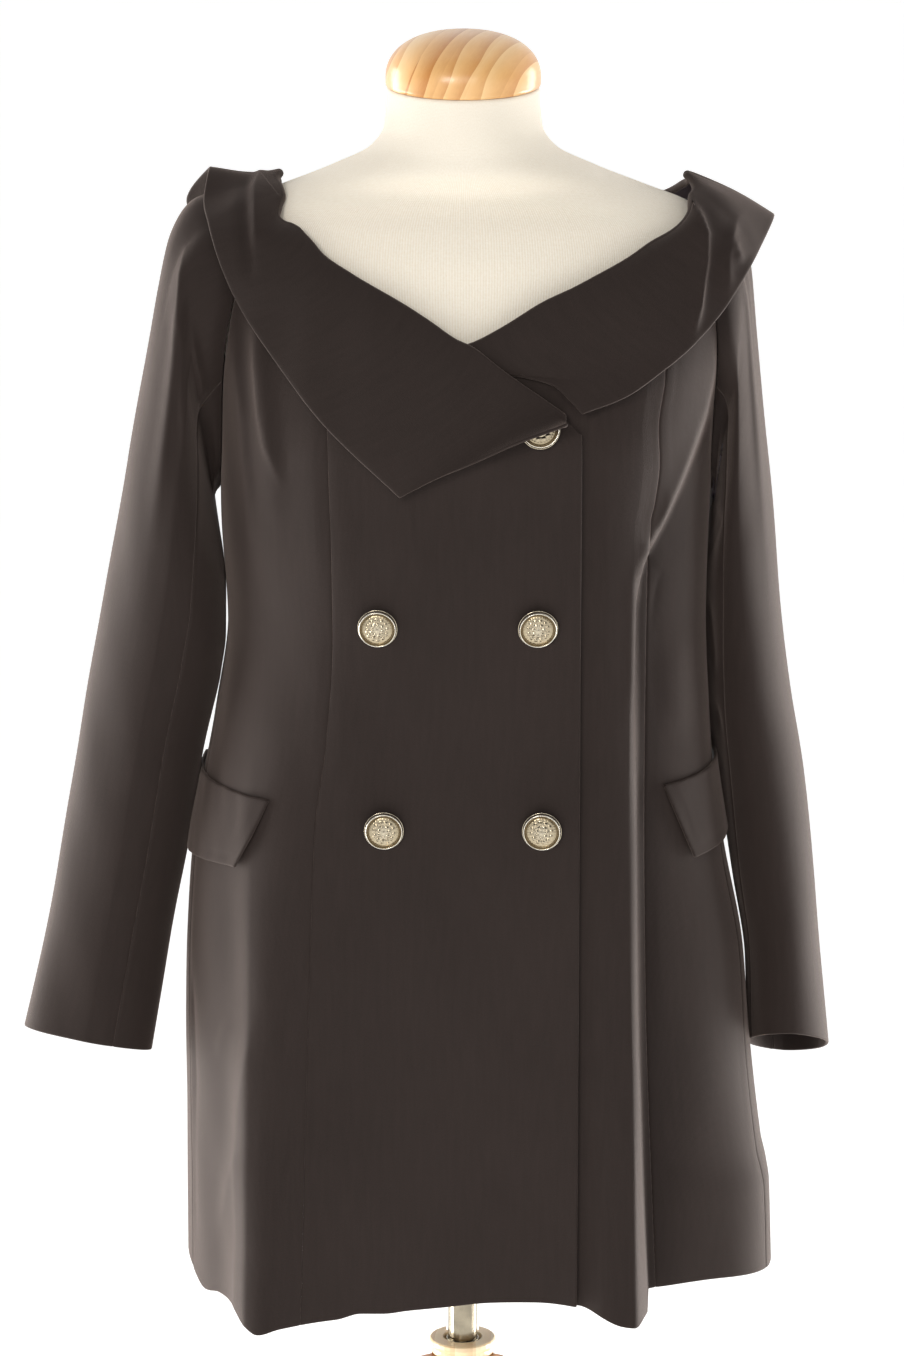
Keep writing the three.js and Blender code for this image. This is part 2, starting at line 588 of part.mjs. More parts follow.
// One section of the collar: it starts on the neckline's edge, turns over and falls to its outer edge.
function collarSection(row) {
  const side = row.turn > 180 ? "right" : "left";
  const angle = side === "right" ? row.turn - 360 : row.turn;
  const z = neckHeight(side, angle);
  const edge = bodyPoint(angle, z);
  const out = bodyNormal(angle, z);
  const up = bodyPoint(angle, z + 1).sub(bodyPoint(angle, z - 1)).normalize();
  const centre = edge.clone().addScaledVector(out, ROLL - COLLAR_CLOTH);
  const points = ROLL_TURNS.map((turn) =>
    centre
      .clone()
      .addScaledVector(out, ROLL * Math.cos(rad(turn)))
      .addScaledVector(up, ROLL * Math.sin(rad(turn))),
  );
  const start = points[points.length - 1];
  const end = new THREE.Vector3(row.x, row.y, row.z);
  const drop = start.distanceTo(end);
  const lean = start.clone().addScaledVector(up, -row.hang * drop).addScaledVector(out, row.lift);
  for (const t of COLLAR_SHARES) {
    const p = start.clone().multiplyScalar((1 - t) ** 2);
    p.addScaledVector(lean, 2 * t * (1 - t)).addScaledVector(end, t * t);
    points.push(p);
  }
  return points.reverse();
}

// The collar's rows with one more half way between each pair, so that it bends smoothly.
function collarRows() {
  const keyed = COLLAR.map((row, i) => ({ ...row, i }));
  const names = ["turn", "x", "y", "z", "lift", "hang"];
  const at = (i) => Object.fromEntries(names.map((name) => [name, column(keyed, "i", name, i)]));
  return Array.from({ length: 2 * COLLAR.length - 1 }, (_, i) => at(i / 2));
}

// The whole collar as one grid, cut at the shoulder seams into its three pieces.
function collarPieces() {
  const rows = collarRows();
  const sections = rows.map(collarSection);
  const grid = sections[0].map((_, i) => sections.map((section) => section[i]));
  const normals = gridNormals(grid);
  const seamAt = (side) => rows.findIndex((row) => Math.abs(row.turn - SHOULDER_SEAMS[side]) < 1e-6);
  const piece = (from, to, borders) => {
    const points = grid.map((line) => line.slice(from, to + 1).map((p) => p.clone()));
    inset(points, borders, SEAM / 2);
    return wall(points, normals.map((line) => line.slice(from, to + 1)), COLLAR_CLOTH);
  };
  return {
    lapel_left: piece(0, seamAt("left"), ["last"]),
    collar_back: piece(seamAt("left"), seamAt("right"), ["first", "last"]),
    lapel_right: piece(seamAt("right"), rows.length - 1, ["first"]),
  };
}

// Outward normals of a bare grid, from the grid itself.
function gridNormals(grid) {
  const rows = grid.length - 1;
  const cols = grid[0].length - 1;
  return grid.map((line, i) =>
    line.map((_, j) => {
      const across = line[Math.min(j + 1, cols)].clone().sub(line[Math.max(j - 1, 0)]);
      const up = grid[Math.min(i + 1, rows)][j].clone().sub(grid[Math.max(i - 1, 0)][j]);
      return across.cross(up).normalize();
    }),
  );
}

// ---- flaps and buttons --------------------------------------------------------------------------
function flap(side) {
  const { seam, foot } = FLAPS[side];
  const point = (along, drop) => {
    const across = (edge, from, to) => lerp(edge[from], edge[to], along);
    const at = (from, to) => lerp(across(seam, from, to), across(foot, from, to), drop);
    const angle = SIDES[side] * at("front", "side");
    const z = at("frontZ", "sideZ");
    const off = FLAP_CLOTH + FLAP_SEAM + FLAP_LIFT * drop * (1 - along) ** 1.5;
    return bodyPoint(angle, z).addScaledVector(bodyNormal(angle, z), off);
  };
  const lines = 5;
  const steps = 7;
  const alongs = Array.from({ length: steps + 1 }, (_, j) => j / steps);
  if (side === "right") alongs.reverse();
  const drops = Array.from({ length: lines + 1 }, (_, i) => 1 - i / lines);
  const grid = drops.map((drop) => alongs.map((along) => point(along, drop)));
  return wall(grid, gridNormals(grid), FLAP_CLOTH);
}

// A domed metal button with a raised rim, on a short shank. Its axis is +Y before it is placed.
function buttonGeometry() {
  const { radius, height, seat } = BUTTON;
  const profile = [
    [0, seat],
    [4, seat],
    [4, 1.6],
    [radius, 2.6],
    [radius, height - 1.6],
    [radius - 1.5, height - 1.2],
    [radius - 3, height - 2.2],
    [radius - 6, height - 0.8],
    [0, height],
  ].map(([r, y]) => new THREE.Vector2(r, y));
  return new THREE.LatheGeometry(profile, 18);
}

// ---- the form and its stand ---------------------------------------------------------------------
function formTorso() {
  const around = 32;
  const rows = FORM.map((row) => row.z);
  const vertices = [];
  const index = [];
  for (const z of rows)
    for (let j = 0; j < around; j++) {
      const a = (j / around) * 2 * Math.PI;
      const power = 2 / column(FORM, "z", "square", z);
      const deep = column(FORM, "z", Math.cos(a) < 0 ? "back" : "front", z);
      const side = column(FORM, "z", "side", z);
      const y = -deep * round(Math.cos(a), power);
      const lean = Math.tan(rad(CAP.lean)) * smooth((z - NECK_ROOT) / (CAP.bottom - NECK_ROOT));
      vertices.push(side * round(Math.sin(a), power), y, z + y * lean);
    }
  const foot = vertices.length / 3;
  vertices.push(0, 0, rows[0], 0, 0, rows[rows.length - 1]);
  for (let j = 0; j < around; j++) {
    const next = (j + 1) % around;
    for (let i = 0; i < rows.length - 1; i++) {
      const [a, b] = [i * around + j, i * around + next];
      index.push(a, b, b + around, a, b + around, a + around);
    }
    const top = (rows.length - 1) * around;
    index.push(foot, next, j, foot + 1, top + j, top + next);
  }
  return new THREE.BufferGeometry()
    .setAttribute("position", new THREE.Float32BufferAttribute(vertices, 3))
    .setIndex(index);
}

// A lathe about the upright axis from pairs of radius and height.
function turned(pairs, segments) {
  const profile = pairs.map(([r, z]) => new THREE.Vector2(r, z));
  return new THREE.LatheGeometry(profile, segments).rotateX(Math.PI / 2);
}

function neckCap() {
  const { radius, bottom, height, lean } = CAP;
  const domes = 6;
  const STRAIGHT = 7; // height of the upright part of its side
  const pairs = [
    [0, 0],
    [radius - 1.5, 0],
    [radius, 1.5],
    [radius, STRAIGHT],
  ];
  for (let i = 1; i <= domes; i++) {
    const a = (i / domes) * (Math.PI / 2);
    const spread = i === domes ? 0 : radius * Math.cos(a) ** 0.8;
    pairs.push([spread, STRAIGHT + (height - STRAIGHT) * Math.sin(a) ** 0.95]);
  }
  return turned(pairs, 36).rotateX(rad(lean)).translate(0, 0, bottom);
}

function solidOf(geometry) {
  const bare = geometry.clone();
  bare.deleteAttribute("normal");
  bare.deleteAttribute("uv");
  const merged = mergeVertices(bare, 1e-4);
  return new wasm.Manifold(
    new wasm.Mesh({
      numProp: 3,
      vertProperties: merged.attributes.position.array,
      triVerts: new Uint32Array(merged.index.array),
    }),
  );
}

function geometryOf(solid) {
  const mesh = solid.getMesh();
  return new THREE.BufferGeometry()
    .setAttribute("position", new THREE.Float32BufferAttribute(mesh.vertProperties, 3))
    .setIndex(Array.from(mesh.triVerts));
}

// The turned hub: bored for the post and slotted for the legs; the back slot is open at the top.
function hub() {
  const { radius, waist, bottom, top } = HUB;
  const outline = [
    [0, bottom],
    [waist - 2, bottom],
    [waist, bottom + 2],
    [waist, top - 7],
    [radius, top - 4],
    [radius, top - 1],
    [radius - 1, top],
    [0, top],
  ];
  const bore = [
    [0, POST.bottom - SEAM],
    [POST.radius + SEAM, POST.bottom - SEAM],
    [POST.radius + SEAM, top - FERRULE.seat],
    [FERRULE.radius + SEAM, top - FERRULE.seat],
    [FERRULE.radius + SEAM, top + SLOT.clear],
    [0, top + SLOT.clear],
  ];
  let solid = solidOf(turned(outline, 32)).subtract(solidOf(turned(bore, 28)));
  LEG.angles.forEach((angle, i) => {
    const slotTop = i === 0 ? top + SLOT.clear : LEG.top + 3;
    const slot = new THREE.BoxGeometry(radius, LEG.width + 2 * SEAM, slotTop - SLOT.foot)
      .translate(SLOT.depth + radius / 2, 0, (slotTop + SLOT.foot) / 2)
      .rotateZ(rad(angle));
    solid = solid.subtract(solidOf(slot));
  });
  return geometryOf(solid);
}

function ferrule() {
  const { radius, seat, height } = FERRULE;
  const bore = POST.radius + SEAM;
  const foot = HUB.top - seat + SEAM;
  const profile = [
    [bore, foot],
    [radius, foot],
    [radius, foot + height - 3],
    [radius - 2, foot + height],
    [bore, foot + height],
    [bore, foot],
  ];
  return turned(profile, 28);
}

// A leg in the plane of its own radius: a straight bar whose head sits in the hub's slot.
function legGeometry() {
  const { width, reach, foot, head, top } = LEG;
  const slotFloor = SLOT.depth + 0.5;
  const outline = [
    [slotFloor, top - 26],
    [reach - foot, 0],
    [reach + foot, 0],
    [head, top],
    [slotFloor + 5, top],
    [slotFloor, top - 7],
  ].map(([r, z]) => new THREE.Vector2(r, z));
  return new THREE.ExtrudeGeometry(new THREE.Shape(outline), { depth: width, bevelEnabled: false })
    .translate(0, 0, -width / 2)
    .rotateX(Math.PI / 2);
}

// A wire bail that lies over the leg's head and down its outer face.
function bailGeometry() {
  const wire = 1.2;
  const { reach, foot, head, top } = LEG;
  const off = wire + SEAM + 0.1;
  const lean = Math.atan2(reach + foot - head, top);
  const outerFace = (drop) => head + drop * Math.tan(lean) + off / Math.cos(lean);
  const route = new THREE.CatmullRomCurve3([
    new THREE.Vector3(HUB.waist + SEAM, 0, top + off),
    new THREE.Vector3(head - 1, 0, top + off),
    new THREE.Vector3(head + 0.9 * off, 0, top + 0.7 * off),
    new THREE.Vector3(outerFace(6), 0, top - 6),
    new THREE.Vector3(outerFace(15), 0, top - 15),
    new THREE.Vector3(outerFace(25), 0, top - 25),
  ]);
  const section = new THREE.Shape().absarc(0, 0, wire, 0, 2 * Math.PI);
  return new THREE.ExtrudeGeometry(section, { steps: 12, curveSegments: 4, extrudePath: route });
}

// ---- the assembly -------------------------------------------------------------------------------
const MATERIALS = {
  cloth: new THREE.MeshStandardMaterial({ color: 0x2b2523, roughness: 0.72, metalness: 0 }),
  jersey: new THREE.MeshStandardMaterial({ color: 0xefe8da, roughness: 0.9, metalness: 0 }),
  pine: new THREE.MeshStandardMaterial({ color: 0xd9a86a, roughness: 0.35, metalness: 0 }),
  chrome: new THREE.MeshStandardMaterial({ color: 0xc9c7c2, roughness: 0.15, metalness: 1 }),
  button: new THREE.MeshStandardMaterial({ color: 0xcfc6b4, roughness: 0.25, metalness: 1 }),
};

const model = new THREE.Group();

function add(name, geometry, material, parent = model) {
  const mesh = new THREE.Mesh(geometry, MATERIALS[material]);
  mesh.name = name;
  parent.add(mesh);
  return mesh;
}

add("front_right", upperFront(), "cloth");
add("front_left", lowerFront(), "cloth");
for (const side of Object.keys(SIDES)) {
  add(`side_front_${side}`, sideFront(side), "cloth");
  add(`back_${side}`, backPanel(side), "cloth");
  const { front, back } = SLEEVE_SEAMS;
  add(`sleeve_upper_${side}`, sleevePiece(side, back - 360, front, 13), "cloth");
  add(`sleeve_under_${side}`, sleevePiece(side, front, back, 9), "cloth");
  add(`pocket_flap_${side}`, flap(side), "cloth");
}

for (const [name, geometry] of Object.entries(collarPieces())) add(name, geometry, "cloth");

for (const { name, x, z } of BUTTONS) {
  const button = add(name, buttonGeometry(), "button");
  const angle = angleOf(x, z);
  const out = bodyNormal(angle, z);
  button.position.copy(bodyPoint(angle, z).addScaledVector(out, SEAM));
  button.quaternion.setFromUnitVectors(new THREE.Vector3(0, 1, 0), out);
}

add("form_torso", formTorso(), "jersey");
add("neck_cap", neckCap(), "pine");
add("post", new THREE.CylinderGeometry(POST.radius, POST.radius, POST.top - POST.bottom, 28), "chrome")
  .rotateX(Math.PI / 2)
  .position.setZ((POST.top + POST.bottom) / 2);
add("ferrule", ferrule(), "chrome");
add("hub", hub(), "pine");
LEG.angles.forEach((angle, i) => {
  const turn = new THREE.Group();
  turn.rotation.z = rad(angle);
  model.add(turn);
  add(`leg_${i + 1}`, legGeometry(), "pine", turn);
  add(`leg_bail_${i + 1}`, bailGeometry(), "chrome", turn);
});

// The origin is under the middle of the whole object's box, on the floor.
const box = new THREE.Box3().setFromObject(model);
model.position.set(-(box.min.x + box.max.x) / 2, -(box.min.y + box.max.y) / 2, -box.min.z);

export default model;
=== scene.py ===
"""A long off-the-shoulder double-breasted blazer on a dress form with a tripod stand.

Lengths in the tables are millimetres in the modelling frame: the post's axis is x = y = 0, the floor is
z = 0, the front faces -Y and the wearer's right side is at -X. Meshes are written in metres, on the frame.
"""

import math

import bpy
import numpy as np
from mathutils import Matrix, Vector


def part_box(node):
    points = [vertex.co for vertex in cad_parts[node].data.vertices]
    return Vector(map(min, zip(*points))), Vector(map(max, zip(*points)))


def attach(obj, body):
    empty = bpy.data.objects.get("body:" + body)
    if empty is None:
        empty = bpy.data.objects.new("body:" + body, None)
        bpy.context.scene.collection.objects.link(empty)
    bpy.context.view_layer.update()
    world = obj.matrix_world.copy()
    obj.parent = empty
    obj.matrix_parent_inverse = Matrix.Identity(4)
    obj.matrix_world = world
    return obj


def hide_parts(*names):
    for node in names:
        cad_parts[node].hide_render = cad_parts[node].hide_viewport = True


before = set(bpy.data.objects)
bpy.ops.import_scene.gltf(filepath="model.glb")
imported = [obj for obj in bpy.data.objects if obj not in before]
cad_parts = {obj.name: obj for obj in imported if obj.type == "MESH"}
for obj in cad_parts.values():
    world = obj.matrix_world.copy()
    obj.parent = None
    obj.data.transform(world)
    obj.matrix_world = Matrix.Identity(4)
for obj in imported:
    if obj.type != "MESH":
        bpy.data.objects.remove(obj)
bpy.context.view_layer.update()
scene = bpy.context.scene
post_low, post_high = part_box("post")
AXIS = (np.array(post_low) + post_high) / 2 * (1, 1, 0)
MM = 0.001  # metres in a millimetre

# ---- driving dimensions: the solids', apart from a sharper long fold below the waist ----
CLOTH = 2.0
COLLAR_CLOTH = 2.2
FLAP_CLOTH = 2.4
FLAP_SEAM = 0.5  # gap under the flap's seam
UNDERLAP = 0.8  # gap between the two fronts
LEVEL_AGAIN = (3, 18)  # how far past the upper edge the under front starts to come level, and the width
FRONT_EDGE = 81  # x of the upper front's edge
UNDER_EDGE = -70  # x of the under front's edge
UNDERARM = 1212
WAIST = 1120
NECK_GAP = 0.5  # between the panels and the neckline
ROLL = 3.2  # radius of the collar's roll
BUTTON_RADIUS = 14.0
BUTTON_GAP = 0.3
SIDES = {"right": -1, "left": 1}
CAP = {"radius": 55.2, "bottom": 1500.3, "height": 38.6, "straight": 7.0, "lean": 5.5}


def table(names, rows):
    return dict(zip(names.split(), np.array(rows, float).T))


# Half widths, depths and squareness of the body's sections. "square" is 2 for an ellipse.
BODY = table("z right left front back square", [
    (610, 205, 232.5, 146, 140, 2.7),
    (690, 204.4, 229, 143, 137, 2.7),
    (720, 204.3, 222.5, 142, 136, 2.7),
    (800, 204.5, 212.5, 140, 134, 2.7),
    (870, 203.5, 207, 139, 132, 2.7),
    (950, 198, 191.5, 138, 128, 2.7),
    (1000, 190, 184.5, 136, 120, 2.7),
    (1050, 180, 180, 134, 110, 2.7),
    (1120, 170.5, 176.5, 133, 101, 2.6),
    (1200, 174.5, 177.5, 136, 107, 2.6),
    (1250, 175, 181, 136, 112, 2.6),
    (1300, 177, 187, 128, 112, 2.6),
    (1350, 178, 193, 109, 103, 2.6),
    (1400, 177, 194, 77, 84, 2.6),
    (1412, 172, 191, 63, 72, 2.6),
    (1425, 155, 180, 42, 50, 2.6),
    (1434, 138, 164, 24, 28, 2.6),
    (1442, 118, 144, 10, 14, 2.6),
])
HEM = table("x z", [
    (-204, 641), (-190, 628), (-178, 632), (-168, 632.5), (-158, 625), (-149, 620.3), (-132, 624.5),
    (-117, 626), (-91, 628), (-74, 632.4), (-57, 632.6), (-40, 635), (-14, 638), (20, 641.3), (48, 642),
    (82, 640), (115, 627), (126, 625.5), (132, 628), (180, 630.5), (230, 627),
])
BACK_HEM = 632
NECK = {
    "right": table("angle z", [
        (-20, 1272), (-17, 1281), (-12, 1292.8), (-8, 1302.6), (-4, 1314.5), (0, 1330.4), (4, 1344.5),
        (8, 1354.3), (14, 1365.5), (20, 1375.5), (27, 1386.6), (31, 1396.5), (35, 1403.9), (38, 1406.4),
        (40, 1407.2), (43, 1409.8), (46, 1417), (50, 1424), (60, 1430), (90, 1437), (120, 1429),
        (135, 1416), (150, 1407), (180, 1398),
    ]),
    "left": table("angle z", [
        (-20, 1276), (-17, 1286), (0, 1330), (4, 1340.7), (11.5, 1357.7), (17, 1365.8), (23, 1374.8),
        (30, 1384.6), (37, 1395), (42, 1400), (46, 1404), (52, 1411), (60, 1424), (90, 1436),
        (120, 1427), (135, 1416), (150, 1407), (180, 1398),
    ]),
}
PRINCESS = {
    "right": table("z x", [
        (620, -117), (860, -110), (990, -105), (1050, -97), (1125, -92), (1266, -95), (1400, -100),
    ]),
    "left": table("z x", [
        (620, 142), (866, 132), (1009, 130), (1150, 131), (1206, 131.8), (1218, 134.5), (1247, 137.8),
        (1272, 136.8), (1309, 141.3), (1400, 138),
    ]),
}
SIDE_EDGE = table("z angle", [
    (610, 75), (900, 77), (1000, 80), (1100, 86), (1180, 90), (UNDERARM, 90), (1232, 82), (1262, 77),
    (1300, 72), (1350, 63), (1395, 54), (1415, 48),
])
# Upright folds of the body: top, foot, x at each, stand-off at each, reach inward and outward.
FOLDS = [
    (1080, 600, -148, -157, 0, 38, 45, 12),
    (1190, 600, 116, 124, 0, 20, 42, 6),
    (1390, 1200, -150, -133, 5, 0, 8, 9),
    (1370, 1190, -166, -150, 5, 0, 5, 7),
]
TUCK_WIDTH = (2.5, 9)  # of the tuck below and above the waist
TUCK = table("z x share", [
    (620, 133, 0.4), (866, 123.5, 0.33), (1009, 121.5, 0.28), (1151, 119.5, 0.32), (1172, 123, 0.32),
    (1210, 141.4, 0.3), (1230, 150.6, 0.28), (1254, 160.4, 0.26), (1276, 168.8, 0.24),
    (1298, 174.4, 0.22), (1329, 180, 0.2), (1353, 183, 0.18),
])
# Rings of the sleeves from head to cuff: outer and inner edge, half depth, middle y, fit to armhole.
SLEEVE = {
    "right": table("ox oz ix iz depth y fit", [
        (-138, 1436, -176.5, 1212, 50, -2, 1),
        (-164, 1429, -180, 1207, 58, -1, 0.75),
        (-195, 1420, -181, 1200, 62, 0, 0.45),
        (-209.5, 1398, -179.5, 1191, 64, -4, 0.2),
        (-218, 1360, -176, 1178, 65, -9, 0.05),
        (-228, 1304, -173, 1160, 65, -14, 0),
        (-238.5, 1248, -171.5, 1138, 64, -18, 0),
        (-248.5, 1190, -171.8, 1108, 61, -20, 0),
        (-264.5, 1108, -176, 1078, 56, -20, 0),
        (-277.5, 1040, -188, 1026, 50, -20, 0),
        (-293, 955, -200.8, 950, 44, -20, 0),
        (-307, 880, -215, 877, 38, -22, 0),
        (-323, 814, -229, 795, 34, -24, 0),
    ]),
    "left": table("ox oz ix iz depth y fit", [
        (164, 1436, 179, 1212, 50, -2, 1),
        (184, 1425, 182, 1207, 55, 2, 0.75),
        (199, 1406, 181.5, 1199, 57, 6, 0.45),
        (206.5, 1378, 180, 1189, 59, 10, 0.2),
        (211.5, 1325, 178.5, 1170, 61, 14, 0.05),
        (218, 1262, 174.5, 1148, 62, 19, 0),
        (224, 1205, 172.5, 1120, 62, 22, 0),
        (231, 1130, 174, 1088, 60, 23, 0),
        (240, 1060, 179, 1040, 57, 20, 0),
        (250, 1000, 188, 990, 54, 15, 0),
        (259, 925, 199, 920, 51, 11, 0),
        (265, 860, 209.5, 856, 48, 8, 0),
        (272, 790, 212, 793, 45, 5, 0),
    ]),
}
# Creases of the sleeve head: turn, half width, row, half length in rows, depth.
SLEEVE_CREASES = {
    "right": [(142, 26, 3.2, 1.9, 20), (62, 9, 4.2, 1.8, -5)],
    "left": [(142, 26, 3.2, 1.9, 20), (40, 9, 4.2, 1.8, -5)],
}
# The sleeve's section: nearly flat sides that meet in a soft front and back edge.
SLEEVE_SIDE = 1.5
SLEEVE_EDGE = 2.3
# How much higher the front of a ring is than its middle, at the head and at the cuff.
SLEEVE_RISE = {"right": (6, 6), "left": (6, 20)}
ON_NECKLINE = 36  # degrees of the sleeve's head that lie along the neckline
NECK_CORNER = 48
SLEEVE_SEAMS = (122, 245)  # front and back seam, degrees round the ring
SEAM_DRIFT = {"right": 0, "left": 42}  # how far the front seam turns inward at the cuff, degrees
# The collar's outer edge, from the left lapel's end round the back to the right lapel's.
COLLAR = table("turn x y z lift", [
    (-3, 82.5, -136, 1288.5, 1),
    (5.5, 112, -127, 1298.5, 4),
    (13.5, 136.5, -114, 1313, 5),
    (24.5, 158, -101, 1328.5, 8),
    (37, 182, -78, 1351.5, 10),
    (49, 201, -58, 1378, 10),
    (68, 212, -30, 1393, 8),
    (88, 222, 8, 1408, 3),
    (112, 220, 36, 1400, 4),
    (130, 206, 70, 1384, 5),
    (148, 170, 102, 1362, 5),
    (165, 100, 124, 1338, 5),
    (180, 4, 131, 1330, 5),
    (195, -92, 124, 1338, 5),
    (212, -154, 102, 1362, 5),
    (230, -197, 74, 1390, 8),
    (248, -199, 38, 1415, 4),
    (272, -180, 4, 1442, 1),
    (292, -183, -26, 1423, 3),
    (308, -179, -48, 1409, 5),
    (317, -173, -64, 1391, 6),
    (324, -165, -74, 1371, 6),
    (332.5, -156.5, -81, 1354.5, 6),
    (341, -138, -99, 1329, 5),
    (351, -96, -128, 1278, 5),
    (360, -44, -147, 1231, 4),
    (366.5, -9.5, -149, 1249, 4),
    (372, 39, -152, 1271, 3),
    (376.4, 70, -149.2, 1283.5, 3),
])
HANG = table("row share", [(0, -0.12), (1, 0.3), (2, 0.3)])  # how far the collar drops before it bends
# The left lapel's end dips under the right lapel, comes up above its edge and turns down again.
END_RISE = table("share rise", [(0, 0), (0.5, 0), (0.67, 2.5), (0.78, 6.5), (0.9, 10), (0.95, 6), (1, 0)])
END_SINK = 4.0
CROSSING_LIFT = 1.8
LAPEL_TIP = 25  # row of the collar's table at the sharp corner of the right lapel
# Pieces of the collar: first and last row, rows from column to column, and the ends that are sewn.
COLLAR_CUTS = {
    "lapel_left": (0, 7, 0.0625, ["last"]),
    "collar_back": (7, 17, 0.1, ["first", "last"]),
    "lapel_right": (17, 28, 0.0625, ["first"]),
}
# Corners of the flaps, as angle and height: the seam's front and back end, then the foot's.
FLAPS = {
    "right": ((41, 1006, 97, 1009), (48, 957, 96, 948)),
    "left": ((46, 1007, 97, 1017), (55, 953, 97, 962)),
}
FLAP_LIFT = {"right": (4, 3), "left": (2.5, 3)}  # how far the front and the back corner stand off
NECK_ROOT = 1455
FORM = table("z side front back square", [
    (830, 158, 96, 104, 2.3),
    (842, 163, 100, 109, 2.3),
    (920, 167, 104, 113, 2.3),
    (1000, 160, 101, 103, 2.3),
    (1070, 140, 94, 85, 2.2),
    (1120, 132, 92, 80, 2.2),
    (1180, 145, 106, 90, 2.2),
    (1240, 157, 121, 100, 2.2),
    (1290, 167, 116, 103, 2),
    (1340, 178, 101, 96, 2),
    (1380, 185, 86, 82, 2),
    (1402, 180, 71, 67, 2),
    (1418, 161.5, 57, 54, 2),
    (1430, 131.3, 51, 49, 2),
    (1444, 95, 56, 51, 2),
    (1458, 66, 54, 51, 2),
    (1472, 56.5, 54, 53, 2),
    (1500, 54, 53.5, 53.5, 2),
])


# ---- small tools ----
def column(rows, name, at):
    """A table's named column at places along its first one, on a smooth curve that never overshoots."""
    k = next(iter(rows.values()))
    v = rows[name]
    at = np.asarray(at, float)
    slope = np.diff(v) / np.diff(k)
    before, after = slope[:-1], slope[1:]
    same = before * after > 0
    tangent = np.r_[slope[0], np.zeros(len(k) - 2), slope[-1]]
    tangent[1:-1] = np.where(same, 2 * before * after / np.where(same, before + after, 1), 0)
    i = np.clip(np.searchsorted(k, at, side="right") - 1, 0, len(k) - 2)
    span = k[i + 1] - k[i]
    t = np.clip((at - k[i]) / span, 0, 1)
    return (
        (2 * t**3 - 3 * t**2 + 1) * v[i]
        + (t**3 - 2 * t**2 + t) * span * tangent[i]
        + (3 * t**2 - 2 * t**3) * v[i + 1]
        + (t**3 - t**2) * span * tangent[i + 1]
    )


def smooth(t):
    t = np.clip(t, 0, 1)
    return t * t * (3 - 2 * t)


def bell(x, width):
    return np.exp(-((x / width) ** 2))


def lerp(a, b, t):
    return a + (b - a) * t


def rounded(value, power):
    return np.sign(value) * np.abs(value) ** power


def unit(v):
    return v / np.maximum(np.linalg.norm(v, axis=-1, keepdims=True), 1e-9)


def dense(count):
    """Shares from 0 to 1 that lie closer together towards both ends, for the dip along a seam."""
    ends = np.array([0, 0.004, 0.009, 0.016, 0.026, 0.04])
    return np.r_[ends, np.linspace(0.06, 0.94, count), 1 - ends[::-1]]


# ---- the body surface: degrees from the centre front, positive to the wearer's left ----
def body_point(angle, z):
    angle, z = np.broadcast_arrays(angle, z)
    a = np.radians(angle)
    power = 2 / column(BODY, "square", z)
    side = np.where(np.sin(a) < 0, column(BODY, "right", z), column(BODY, "left", z))
    deep = np.where(np.cos(a) < 0, column(BODY, "back", z), column(BODY, "front", z))
    x = side * rounded(np.sin(a), power)
    y = -deep * rounded(np.cos(a), power)
    width = lerp(*TUCK_WIDTH, smooth((z - WAIST) / 80))
    share = column(TUCK, "share", z) * smooth((x - column(TUCK, "x", z)) / width)
    y = np.where(y < 0, y * (1 - share), y)
    facing = smooth(-y / 40)
    for top, foot, x_top, x_foot, out_top, out_foot, inward, outward in FOLDS:
        t = (top - z) / (top - foot)
        dx = x - lerp(x_top, x_foot, t)
        reach = np.where(dx * x_top > 0, outward, inward)
        ends = np.sin(np.pi * np.clip(t, 0, 1)) if out_top > 0 else 1
        out = np.maximum(out_top, lerp(out_top, out_foot, t))
        y = y - np.where((t > 0) & (t < 1), facing * ends * out * bell(dx, reach), 0)
    return np.stack([x, y, z], -1)


def angle_of(x, z):
    x, z = np.broadcast_arrays(x, z)
    side = np.where(x < 0, column(BODY, "right", z), column(BODY, "left", z))
    share = np.minimum(np.abs(x) / side, 1) ** (column(BODY, "square", z) / 2)
    return np.degrees(np.sign(x) * np.arcsin(share))


def body_normal(angle, z):
    across = body_point(angle + 0.4, z) - body_point(angle - 0.4, z)
    up = body_point(angle, z + 1.5) - body_point(angle, z - 1.5)
    return unit(np.cross(across, up))


def hem_height(angle, z):
    front = column(HEM, "z", body_point(angle, z)[..., 0])
    return lerp(front, BACK_HEM, smooth((np.abs(angle) - 80) / 40))


def neck_height(side, angle):
    return column(NECK[side], "z", angle * SIDES[side])


# ---- panels of the body ----
# Columns across each panel, the borders that are sewn, and the free ones.
PANELS = {
    "front_right": (60, ["first"], ["foot", "last"]),
    "front_left": (110, ["last"], ["foot", "first"]),
    "side_front_right": (76, ["first", "last"], ["foot"]),
    "side_front_left": (76, ["first", "last"], ["foot"]),
    "back_right": (36, ["first", "last"], ["foot"]),
    "back_left": (36, ["first", "last"], ["foot"]),
}
PANEL_LEVELS = np.arange(655, 1261, 4.0)
NECK_SHARES = 1 - (1 - np.linspace(0, 1, 40)[1:]) ** 1.4
HEM_SHARES = np.array([0, 0.04, 0.12, 0.3, 0.6])


def panel_angle(kind, side, share, z):
    """The angle at a share of the way across a panel, towards the wearer's left."""
    princess = column(PRINCESS[side], "x", z)
    edge = column(SIDE_EDGE, "angle", z)
    if kind == "front":
        ends = (princess, FRONT_EDGE) if side == "right" else (UNDER_EDGE, princess)
        return angle_of(lerp(*ends, share), z)
    if kind == "side_front":
        ends = [angle_of(princess, z), SIDES[side] * edge]
    else:
        ends = [SIDES[side] * np.where(z < UNDERARM, edge, 180 - edge), SIDES[side] * 180.0]
    if side == "right":
        ends.reverse()
    return lerp(*ends, share)


